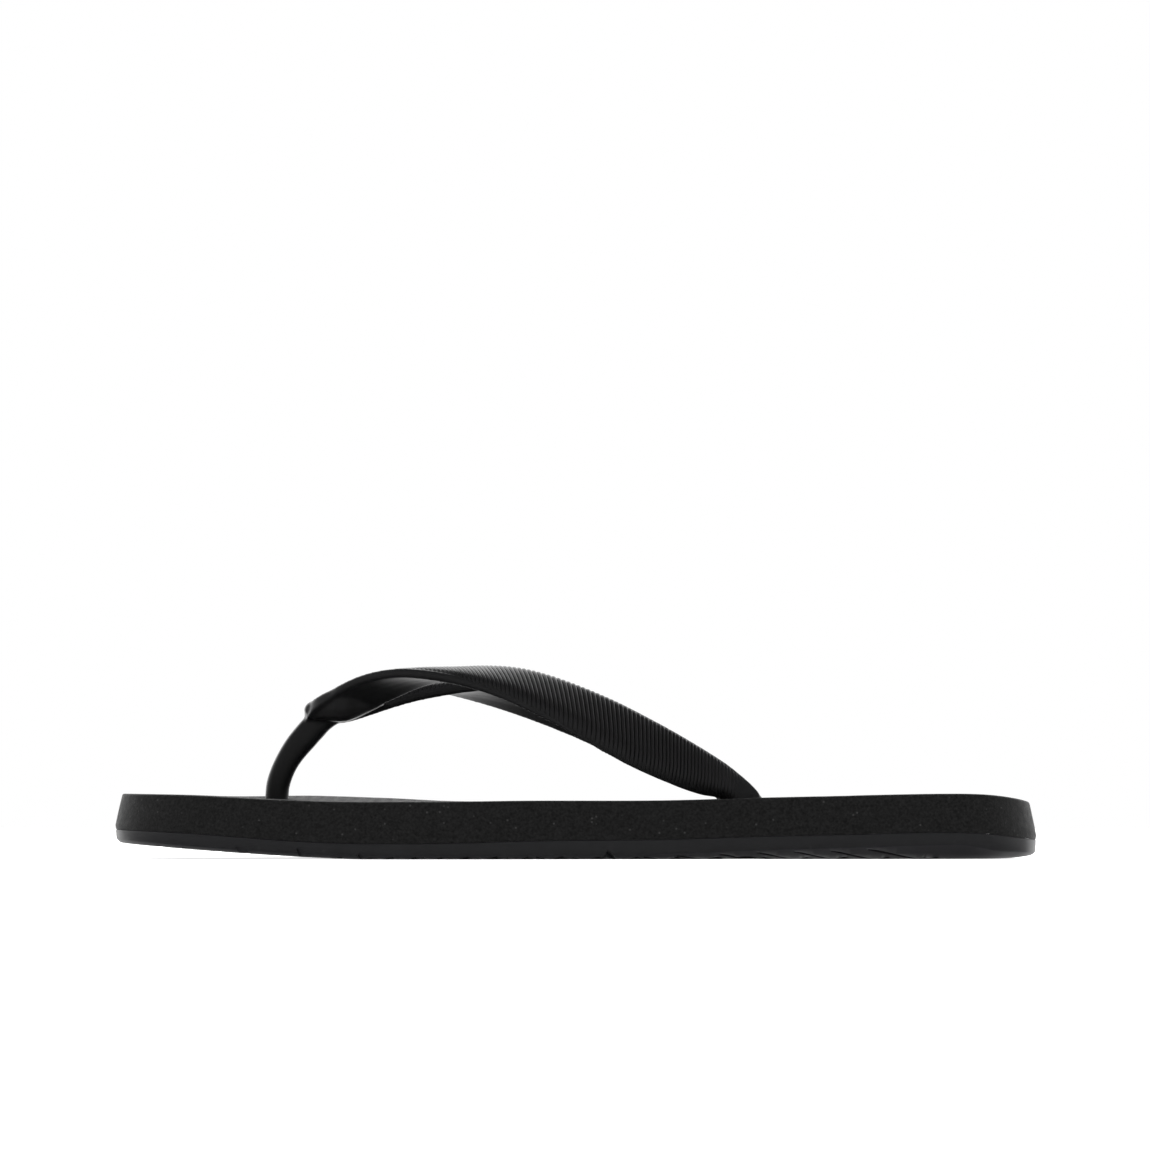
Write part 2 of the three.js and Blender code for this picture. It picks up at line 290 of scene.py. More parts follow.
def run_tree(obj: bpy.types.Object, tree: bpy.types.NodeTree, values: dict) -> None:
    """Runs a geometry node tree on an object and keeps the result as its plain mesh.

    Args:
        obj: The object that the tree changes.
        tree: The tree, whose inputs have names.
        values: Input values by name.
    """
    modifier = obj.modifiers.new(tree.name, "NODES")
    modifier.node_group = tree
    for item in tree.interface.items_tree:
        if item.item_type == "SOCKET" and item.in_out == "INPUT" and item.name in values:
            modifier[item.identifier] = values[item.name]
    bake_modifiers(obj)


def tube(name: str, rings: np.ndarray) -> bpy.types.Object:
    """Lofts a closed body through rings of equally many points.

    Args:
        name: The object's name.
        rings: Points by ring, by place on the ring and by axis.

    Returns:
        The new object.
    """
    steps, n = rings.shape[:2]
    faces = [(s * n + i, s * n + (i + 1) % n, (s + 1) * n + (i + 1) % n, (s + 1) * n + i)
             for s in range(steps - 1) for i in range(n)]
    faces += [tuple(range(n)), tuple(range((steps - 1) * n, steps * n))]
    return mesh_object(name, rings.reshape(-1, 3), faces)


def oval_prism(name: str, x: float, y: float, length: float, width: float,
               low: float, high: float, sides: int = 64) -> bpy.types.Object:
    """Makes an upright prism with an oval section, in millimetres.

    Args:
        name: The object's name.
        x: Where the middle lies along the shoe.
        y: Where the middle lies across the shoe.
        length: Size along x.
        width: Size along y.
        low: Height of the bottom.
        high: Height of the top.
        sides: How many faces go round.

    Returns:
        The new object.
    """
    turn = np.linspace(0, 2 * math.pi, sides, endpoint=False)
    ring = np.stack([x + np.cos(turn) * length / 2, y + np.sin(turn) * width / 2], 1)
    return tube(name, np.stack([np.c_[ring, np.full(sides, z)] for z in (low, high)]))


def dress(piece: bpy.types.Object, material: bpy.types.Material, node: str, slot: Slot) -> None:
    """Gives a piece its material and its body, and hides the CAD node that it stands for.

    Args:
        piece: The finished piece.
        material: What it is made of.
        node: The CAD node that it replaces.
        slot: The record's material slot; not used.
    """
    piece.data.materials.clear()
    piece.data.materials.append(material)
    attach(piece, "root")
    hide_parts(node)
    size = [round(v / MM, 1) for v in piece.dimensions]
    LOG.info("%s: %d faces, %s mm", piece.name, len(piece.data.polygons), size)


# ---------------------------------------------------------------- finishes
# The two readings between which most of a noise's values lie.
NOISE_LOW, NOISE_HIGH = 0.3, 0.7


@dataclass(frozen=True)
class Finish:
    """A surface, from its colour to the grain that the light catches.

    Sizes are in millimetres, colours are sRGB hex.
    """

    name: str
    colour: str
    fleck_colour: str
    fleck_size: float
    fleck_share: float
    roughness: float
    roughness_swing: float
    grain_size: float
    grain_depth: float
    mottle_size: float
    mottle_swing: float
    specular: float = 0.5
    sheen: float = 0.0

    def material(self) -> bpy.types.Material:
        """Builds the shader, whose roughness wanders as on handled rubber.

        Returns:
            The new material.
        """
        material = bpy.data.materials.new(self.name)
        material.use_nodes = True
        tree = material.node_tree
        tree.nodes.clear()
        place = add_node(tree, "ShaderNodeTexCoord").outputs["Object"]
        blotches, patches, grain = (
            add_node(tree, "ShaderNodeTexNoise", {"noise_dimensions": "3D"}, {
                "Vector": place, "Scale": 1 / (size * MM), "Detail": detail, "Roughness": 0.6})
            for size, detail in ((self.mottle_size, 3.0), (self.mottle_size * 2.5, 2.0),
                                 (self.grain_size, 2.0)))
        rough = add_node(tree, "ShaderNodeMapRange", inputs={
            "Value": patches, "From Min": NOISE_LOW, "From Max": NOISE_HIGH,
            "To Min": self.roughness - self.roughness_swing,
            "To Max": self.roughness + self.roughness_swing})
        bump = add_node(tree, "ShaderNodeBump", inputs={
            "Height": grain, "Distance": self.grain_depth * MM, "Strength": 1.0})
        shader = add_node(tree, "ShaderNodeBsdfPrincipled", inputs={
            "Base Color": self.coloured(tree, place, blotches), "Roughness": rough, "IOR": 1.5,
            "Specular IOR Level": self.specular, "Sheen Weight": self.sheen,
            "Sheen Roughness": 0.45, "Normal": bump})
        add_node(tree, "ShaderNodeOutputMaterial", inputs={"Surface": shader.outputs["BSDF"]})
        return material

    def coloured(self, tree: bpy.types.NodeTree, place: bpy.types.NodeSocket,
                 blotches: bpy.types.Node) -> bpy.types.NodeSocket:
        """Mottles the base colour and scatters pale flecks over it.

        Args:
            tree: The material's tree.
            place: Object coordinates.
            blotches: The noise that mottles the colour.

        Returns:
            The colour socket.
        """
        mottle = add_node(tree, "ShaderNodeMapRange", inputs={
            "Value": blotches, "From Min": NOISE_LOW, "From Max": NOISE_HIGH,
            "To Min": 1 - self.mottle_swing, "To Max": 1 + self.mottle_swing})
        toned = add_node(tree, "ShaderNodeVectorMath", {"operation": "SCALE"}, {
            0: linear(self.colour)[:3], "Scale": mottle})
        cells = add_node(tree, "ShaderNodeTexVoronoi", {"feature": "F1"}, {
            "Vector": place, "Scale": 1 / (self.fleck_size * MM), "Randomness": 1.0})
        chosen = add_node(tree, "ShaderNodeSeparateColor", inputs={0: cells.outputs["Color"]})
        lit = add_node(tree, "ShaderNodeMath", {"operation": "LESS_THAN"}, {
            0: chosen, 1: self.fleck_share})
        near = add_node(tree, "ShaderNodeMapRange", inputs={
            "Value": cells.outputs["Distance"], "From Min": 0.10, "From Max": 0.34,
            "To Min": 1.0, "To Max": 0.0})
        fleck = add_node(tree, "ShaderNodeMath", {"operation": "MULTIPLY"}, {0: lit, 1: near})
        mix = add_node(tree, "ShaderNodeMix", {"data_type": "RGBA"}, {
            "Factor": fleck, 6: toned, 7: linear(self.fleck_colour)})
        return mix.outputs[2]


# Closed-cell EVA foam, cut by a die and buffed: the opened cells scatter the light, so it looks
# dead matte and faintly mottled, with a few pale specks of filler.
EVA_FOAM = Finish(
    name="eva_foam_die_cut", colour="#181818", fleck_colour="#3a3a3a", fleck_size=1.3,
    fleck_share=0.05, roughness=0.58, roughness_swing=0.06, grain_size=0.5, grain_depth=0.1,
    mottle_size=0.8, mottle_swing=0.6, specular=0.22, sheen=0.03)

# Natural rubber pressed in a polished mould: satin, so that its edges mirror broad soft lights as
# a grey glow, with a slight bloom that makes it greyer than the foam.
MOULDED_OUTSOLE = Finish(
    name="outsole_rubber_compression_moulded", colour="#1f1f21", fleck_colour="#28282a",
    fleck_size=2.5, fleck_share=0.05, roughness=0.42, roughness_swing=0.05, grain_size=0.3,
    grain_depth=0.02, mottle_size=4.0, mottle_swing=0.08, specular=0.5)

# Soft rubber injected into a fine-sandblasted mould: darker and smoother than the sole, with a
# low sheen that draws a grey light along every rib and rim.
INJECTED_STRAP = Finish(
    name="strap_rubber_injection_moulded", colour="#161617", fleck_colour="#1c1c1d",
    fleck_size=1.8, fleck_share=0.04, roughness=0.35, roughness_swing=0.04, grain_size=0.22,
    grain_depth=0.015, mottle_size=5.0, mottle_swing=0.06, specular=0.68)


# ---------------------------------------------------------------- the sole's shape
@dataclass
class SoleShape:
    """Plan and heights of the sole, in millimetres, shared by the foam and the rubber."""

    length: float = 290.0
    forefoot: float = 106.0
    waist: float = 79.0
    heel: float = 79.0
    toe_lean: float = 9.0
    midsole_thickness: float = 12.5
    outsole_thickness: float = 6.0
    toe_spring: float = 5.0
    toe_spring_length: float = 80.0
    heel_rocker: float = 1.2
    heel_rocker_length: float = 16.0
    wall_flare: float = 2.2
    bond_line: float = 0.02
    bevel: float = 11.0
    bevel_at_toe: float = 4.0
    bevel_rise: float = 4.2
    bevel_rise_at_toe: float = 0.9
    seat_start: float = 0.81
    medial_lift: float = 1.6
    centre: tuple[float, float] = (0.0, 0.0)

    def __post_init__(self) -> None:
        """Makes the curves, and centres the plan on the frame's box.

        Widths and the middle line run by degrees round the plan, from the toe's 0 to the heel's
        180. The other curves run by the share of the length.
        """
        self.half = self.length / 2
        self.width_at = smooth_curve([
            (0, 0), (16.5, 0.36 * self.forefoot), (33, 0.66 * self.forefoot),
            (49, 0.89 * self.forefoot), (65, self.forefoot), (80, 0.9 * self.forefoot),
            (96, 1.06 * self.waist), (108, self.waist), (131, self.heel),
            (149, 0.83 * self.heel), (166, 0.42 * self.heel), (180, 0)])
        self.middle_at = smooth_curve([
            (0, self.toe_lean), (30, 0.65 * self.toe_lean), (65, 0.17 * self.toe_lean),
            (80, -1.5), (108, -1.2), (180, 0)])
        self.seam_share = smooth_curve([
            (0, 0.68), (0.09, 0.83), (0.2, 0.8), (0.3, 0.81), (0.36, 0.82), (0.46, 0.95),
            (0.6, 1.02), (0.7, 1.17), (0.8, 1.28), (0.89, 1.37), (0.95, 1.25), (1, 0.78)])
        self.footbed_share = smooth_curve([
            (0, 0.9), (0.1, 0.95), (0.26, 1.02), (0.36, 1.02), (0.5, 0.975), (0.7, 0.955),
            (1, 0.955)])
        self.footbed_round = smooth_curve([(0.8, 0), (0.9, -0.55), (0.94, -0.3), (0.972, 0.8),
                                           (1, 2.6)])
        self.edge_rise = smooth_curve([
            (0, self.bevel_rise_at_toe), (0.55, 1.4 * self.bevel_rise_at_toe),
            (0.7, 0.65 * self.bevel_rise), (0.88, self.bevel_rise), (0.915, self.bevel_rise),
            (0.95, 0.6 * self.bevel_rise), (0.975, 0.4 * self.bevel_rise),
            (1, 0.12 * self.bevel_rise)])
        self.bevel_at = smooth_curve([
            (0, self.bevel_at_toe), (0.55, self.bevel_at_toe), (0.75, self.bevel),
            (1, self.bevel)])
        angles = np.linspace(0, 180, 721)
        sides = [self.middle_at(angles) + s * self.width_at(angles) / 2 for s in (-1, 1)]
        own = (sides[0].min() + sides[1].max()) / 2
        self.shift = self.centre[1] - own

    def share(self, x: np.ndarray) -> np.ndarray:
        """The share of the sole's length from the toe."""
        return np.asarray(x, float) / self.length + 0.5

    def tread(self, x: np.ndarray) -> np.ndarray:
        """Height of the contact surface.

        Args:
            x: Places along the shoe.

        Returns:
            The heights.
        """
        toe = np.maximum(0, -x - (self.half - self.toe_spring_length)) / self.toe_spring_length
        heel = np.maximum(0, x - (self.half - self.heel_rocker_length)) / self.heel_rocker_length
        return self.toe_spring * toe**1.35 + self.heel_rocker * heel**2

    def seam(self, x: np.ndarray) -> np.ndarray:
        """Height of the glue line between foam and rubber."""
        return self.tread(x) + self.outsole_thickness * self.seam_share(self.share(x))

    def footbed(self, x: np.ndarray) -> np.ndarray:
        """Height of the footbed, without its rounded back edge.

        Args:
            x: Places along the shoe.

        Returns:
            The heights.
        """
        at = np.minimum(self.share(x), self.seat_start)
        level = (at - 0.5) * self.length
        return self.seam(level) + self.midsole_thickness * self.footbed_share(at)

    def edges(self, x: np.ndarray) -> tuple[np.ndarray, np.ndarray]:
        """Finds the sides of the plan.

        Args:
            x: Places along the shoe.

        Returns:
            y on the outer and on the inner side.
        """
        angle = np.degrees(np.arccos(np.clip(-np.asarray(x, float) / self.half, -1, 1)))
        middle = self.middle_at(angle) + self.shift
        return middle - self.width_at(angle) / 2, middle + self.width_at(angle) / 2

    def ring(self, stations: int, end_inset: float,
             side_inset: float | Curve) -> tuple[np.ndarray, np.ndarray, np.ndarray]:
        """Draws the outline in at its ends and sides.

        Args:
            stations: How many steps from toe to heel.
            end_inset: How far the toe and the heel come in.
            side_inset: How far the sides come in, or a function of x.

        Returns:
            x, and y on the outer and the inner side, from toe to heel.
        """
        turn = np.linspace(0, math.pi, stations + 1)
        angle = np.degrees(turn)
        x = -np.cos(turn) * (self.half - end_inset)
        inset = side_inset(x) if callable(side_inset) else side_inset
        widest = max(self.forefoot, self.heel) / 2
        half_width = self.width_at(angle) / 2 * (1 - inset / widest)
        middle = self.middle_at(angle) + self.shift
        return x, middle - half_width, middle + half_width


@dataclass
class Slab:
    """A closed solid between a bottom and a top outline, with walls of several rings."""

    stations: int
    across: int

    def build(self, name: str, rings: list[tuple[np.ndarray, np.ndarray, np.ndarray]],
              heights: list[tuple[np.ndarray, np.ndarray]],
              top: Callable[[np.ndarray, np.ndarray], np.ndarray] | None = None,
              floats: dict[str, Callable] | None = None) -> bpy.types.Object:
        """Lofts the walls and fills both ends with a grid of rungs.

        Args:
            name: The object's name.
            rings: x, outer y and inner y of each ring, from the bottom up.
            heights: z on the outer and on the inner side of each ring.
            top: Height of the top surface at x and y; a straight rung if left out.
            floats: Functions of x, y and z whose values are kept on the vertices.

        Returns:
            The new object.
        """
        points = []
        faces = []
        count = 2 * (self.stations + 1)
        for (x, low_y, high_y), (low_z, high_z) in zip(rings, heights):
            points.append(np.stack([np.r_[x, x[::-1]], np.r_[low_y, high_y[::-1]],
                                    np.r_[low_z, high_z[::-1]]], 1))
        for r in range(len(rings) - 1):
            for i in range(count):
                j = (i + 1) % count
                a, b = r * count, (r + 1) * count
                faces.append((a + i, a + j, b + j, b + i))
        base = len(rings) * count
        for end in (0, len(rings) - 1):
            (x, low_y, high_y), (low_z, high_z) = rings[end], heights[end]
            rung = np.linspace(0, 1, self.across + 1)[None, :]
            grid_x = np.repeat(x[:, None], self.across + 1, 1)
            grid_y = low_y[:, None] * (1 - rung) + high_y[:, None] * rung
            grid_z = low_z[:, None] * (1 - rung) + high_z[:, None] * rung
            if end and top is not None:
                inner = top(grid_x, grid_y)
                grid_z[:, 1:-1] = inner[:, 1:-1]
            points.append(np.stack([grid_x.ravel(), grid_y.ravel(), grid_z.ravel()], 1))
            wide = self.across + 1
            for i in range(self.stations):
                for j in range(self.across):
                    a = base + i * wide + j
                    faces.append((a, a + 1, a + wide + 1, a + wide))
            base += (self.stations + 1) * wide
        cloud = np.concatenate(points)
        kept = {key: read(cloud[:, 0], cloud[:, 1], cloud[:, 2])
                for key, read in (floats or {}).items()}
        return mesh_object(name, cloud, faces, kept)


@dataclass
class Seat:
    """Where an end of the strap goes through the sole, in millimetres."""

    x: float
    y: float
    length: float
    width: float


@dataclass
class Seats:
    """The three seats of the strap, and the clearances around it."""

    shape: SoleShape
    post_from_toe: float = 51.0
    post_from_medial: float = 41.0
    plug_from_heel: float = 93.0
    plug_inset: float = 11.0
    post_length: float = 7.4
    post_width: float = 8.4
    root_length: float = 13.4
    root_width: float = 5.4
    stem: float = 7.0
    pocket_depth: float = 4.5
    flange: float = 13.0
    flange_thickness: float = 2.2
    fit: float = 0.3
    flange_fit: float = 0.6
    cutter_above: float = 9.0
    cutter_below: float = 10.0

    def __post_init__(self) -> None:
        """Places the seats from the sole's own edges."""
        post_x = -self.shape.half + self.post_from_toe
        plug_x = self.shape.half - self.plug_from_heel
        low, high = self.shape.edges(plug_x)
        self.toe = Seat(post_x, float(self.shape.edges(post_x)[1]) - self.post_from_medial,
                        self.post_length, self.post_width)
        self.outer = Seat(plug_x, float(low) + self.plug_inset, self.root_length, self.root_width)
        self.inner = Seat(plug_x, float(high) - self.plug_inset, self.root_length, self.root_width)

    def all(self) -> list[Seat]:
        """The three seats, the toe's first."""
        return [self.toe, self.outer, self.inner]

    def pockets(self, fit: float) -> list[bpy.types.Object]:
        """Makes what the foam's pockets and stem holes are cut with.

        Args:
            fit: The gap round the roots and the stems.

        Returns:
            A pocket and a stem hole for each seat.
        """
        cutters = []
        gap = 2 * fit
        for seat in self.all():
            deck = float(self.shape.footbed(seat.x))
            cutters.append(oval_prism(
                "pocket", seat.x, seat.y, seat.length + gap, seat.width + gap,
                deck - self.pocket_depth, deck + self.cutter_above))
            cutters.append(oval_prism(
                "stem_hole", seat.x, seat.y, self.stem + gap, self.stem + gap,
                -self.cutter_below, deck - 1))
        return cutters

    def flange_top(self, seat: Seat) -> float:
        """Height of the flange's upper face, just under the foam.

        Args:
            seat: Where the flange sits.

        Returns:
            The height.
        """
        reach = self.flange / 2
        ends = self.shape.seam(np.array([seat.x - reach, seat.x + reach]))
        return float(ends.min()) - self.fit


# ---------------------------------------------------------------- foam midsole
@dataclass
class Midsole:
    """The foam block that is also the footbed."""

    shape: SoleShape
    seats: Seats
    edge_radius: float = 0.9
    border: float = 7.0
    border_blur: float = 0.6
    bare_reach: float = 8.6
    dimpled_reach: float = 10.0
    skin: float = 3.0
    foot_inset: float = 0.4
    crisp_angle: float = 50.0
    dimple_pitch: float = 5.2
    dimple_depth: float = 0.45
    pinch_depth: float = 0.7
    pinch_reach: float = 9.0
    stations: int = 420
    across: int = 96
    wall_rings: int = 9
    room_stations: int = 200
    room_across: int = 90
    room_inset: float = 3.0

    def surface(self, x: np.ndarray, y: np.ndarray) -> np.ndarray:
        """Height of the footbed, pinched in around the strap.

        Args:
            x: Places along the shoe.
            y: Places across it.

        Returns:
            The heights.
        """
        shape = self.shape
        at = shape.share(x)
        low, high = shape.edges(x)
        # The medial edge rises over a stretch of the forefoot.
        side = smooth_step(0.25, 1.0, (y - low) / np.maximum(high - low, 1e-6))
        lift = (smooth_step(0.10, 0.22, at) * (1 - smooth_step(0.24, 0.40, at))) * side
        z = shape.footbed(x) - shape.footbed_round(at) + shape.medial_lift * lift
        for seat in self.seats.all():
            gap = np.hypot((x - seat.x) / (seat.length / 2), (y - seat.y) / (seat.width / 2)) - 1
            gap = gap * (seat.length + seat.width) / 4
            z = z - self.pinch_depth * (1 - smooth_step(0, self.pinch_reach, gap)) ** 2
        return z

    def field_mask(self, x: np.ndarray, y: np.ndarray, z: np.ndarray) -> np.ndarray:
        """Says where the footbed is dimpled.

        Args:
            x: Places along the shoe.
            y: Places across it.
            z: Heights.

        Returns:
            1 in the dimpled field, 0 on its border, on the walls and around the strap.
        """
        low, high = self.shape.edges(x)
        ends = self.shape.half - np.abs(x)
        inside = np.minimum(np.minimum(y - low, high - y), ends * 0.9)
        mask = smooth_step(self.border - self.border_blur, self.border + self.border_blur, inside)
        for seat in self.seats.all():
            mask = mask * smooth_step(self.bare_reach, self.dimpled_reach,
                                      np.hypot(x - seat.x, y - seat.y))
        return mask * (z > self.shape.footbed(x) - self.skin)

    def body(self) -> bpy.types.Object:
        """Lofts the block, with its flared wall and rounded edge.

        Returns:
            The block, without dimples or pockets.
        """
        shape = self.shape
        radius = self.edge_radius
        wall = [(self.foot_inset * (1 - smooth_step(0, 0.1, level))
                 + shape.wall_flare * level**1.15, level, 0.0)
                for level in np.linspace(0, 1, self.wall_rings)]
        edge = [(shape.wall_flare + radius * (1 - math.cos(turn)), 1.0, radius * math.sin(turn))
                for turn in np.radians([22.5, 45, 67.5, 90])]
        outlines = []
        heights = []
        for inset, level, up in wall + edge:
            x, low_y, high_y = shape.ring(self.stations, inset, inset)
            base = shape.seam(x) + shape.bond_line / 2
            tops = [self.surface(x, y) - radius for y in (low_y, high_y)]
            heights.append(tuple(base + (top - base) * level + up for top in tops))
            outlines.append((x, low_y, high_y))
        return Slab(self.stations, self.across).build(
            "midsole_foam", outlines, heights, self.surface, {"press": self.field_mask})

    def dimples(self) -> bpy.types.NodeTree:
        """Builds the tree that presses a staggered field of dimples into the footbed.

        Returns:
            The geometry node tree.
        """
        tree, group = new_tree("pressed_dimples", {"Pitch": "Float", "Depth": "Float"})
        place = add_node(tree, "GeometryNodeInputPosition")
        turned = add_node(tree, "ShaderNodeVectorRotate", {"rotation_type": "Z_AXIS"}, {
            "Vector": place, "Angle": math.radians(45)})
        fineness = add_node(tree, "ShaderNodeMath", {"operation": "DIVIDE"}, {
            0: 1.0, 1: group["Pitch"]})
        cells = add_node(tree, "ShaderNodeTexVoronoi",
                         {"voronoi_dimensions": "2D", "feature": "F1"},
                         {"Vector": turned, "Scale": fineness, "Randomness": 0.0})
        cup = add_node(tree, "ShaderNodeMapRange", {"interpolation_type": "SMOOTHSTEP"}, {
            "Value": cells.outputs["Distance"], "From Min": 0.10, "From Max": 0.36,
            "To Min": 1.0, "To Max": 0.0})
        press = add_node(tree, "GeometryNodeInputNamedAttribute", {"data_type": "FLOAT"}, {
            "Name": "press"})
        down = cup
        for factor in (press, group["Depth"], -1.0):
            down = add_node(tree, "ShaderNodeMath", {"operation": "MULTIPLY"}, {
                0: down, 1: factor})
        offset = add_node(tree, "ShaderNodeCombineXYZ", inputs={"Z": down})
        moved = add_node(tree, "GeometryNodeSetPosition", inputs={
            "Geometry": group["Geometry"], "Offset": offset})
        return close_tree(tree, moved, group["Material"])

    def build(self) -> bpy.types.Object:
        """Makes the finished midsole.

        Returns:
            The midsole's object.
        """
        material = EVA_FOAM.material()
        piece = self.body()
        run_tree(piece, self.dimples(), {
            "Pitch": self.dimple_pitch * MM, "Depth": self.dimple_depth * MM,
            "Material": material})
        combine(piece, self.seats.pockets(self.seats.fit), "DIFFERENCE")
        shade_by_angle(piece, self.crisp_angle)
        dress(piece, material, "midsole", Slot.FOAM)
        return piece

    def keep_out(self, clear: float = 0.08) -> bpy.types.Object:
        """Makes the room that the foam takes, a hair larger, for trimming the strap to it.

        Args:
            clear: How far the room stands off the foam, in millimetres.

        Returns:
            The room's solid, with its pockets and holes open.
        """
        x, low_y, high_y = self.shape.ring(self.room_stations, self.room_inset, self.room_inset)
        seam = self.shape.seam(x)
        heights = [(seam, seam), tuple(self.surface(x, y) + clear for y in (low_y, high_y))]
        room = Slab(self.room_stations, self.room_across).build(
            "foam_room", [(x, low_y, high_y)] * 2, heights,
            lambda x, y: self.surface(x, y) + clear)
        return combine(room, self.seats.pockets(self.seats.fit - clear), "DIFFERENCE")


# ---------------------------------------------------------------- rubber outsole
@dataclass(frozen=True)
class WallRing:
    """One ring of the outsole's wall, in millimetres and shares.

    The end and side insets lie inside the plan, and bevel adds a share of the bevel's width to the
    sides. The height starts at the tread plus a share of the edge's rise, goes a share of the way
    up to the seam, and is then shifted.
    """

    end_inset: float
    bevel: float = 0.0
    side_inset: float = 0.0
    rise: float = 1.0
    seam: float = 0.0
    shift: float = 0.0


OUTSOLE_WALL = (
    WallRing(2.6, bevel=1.0, rise=0.0),
    WallRing(1.9, bevel=0.86, rise=0.07),
    WallRing(1.3, bevel=0.5, rise=0.45),
    WallRing(0.95, side_inset=1.2, shift=-0.1),
    WallRing(0.7, side_inset=0.8, shift=0.1),
    WallRing(0.5, side_inset=0.55, shift=0.45),
    WallRing(0.4, side_inset=0.4, seam=0.5),
    WallRing(0.3, side_inset=0.3, seam=1.0, shift=-0.45),
    WallRing(0.38, side_inset=0.38, seam=1.0, shift=-0.12),
    WallRing(0.6, side_inset=0.6, seam=1.0),
)


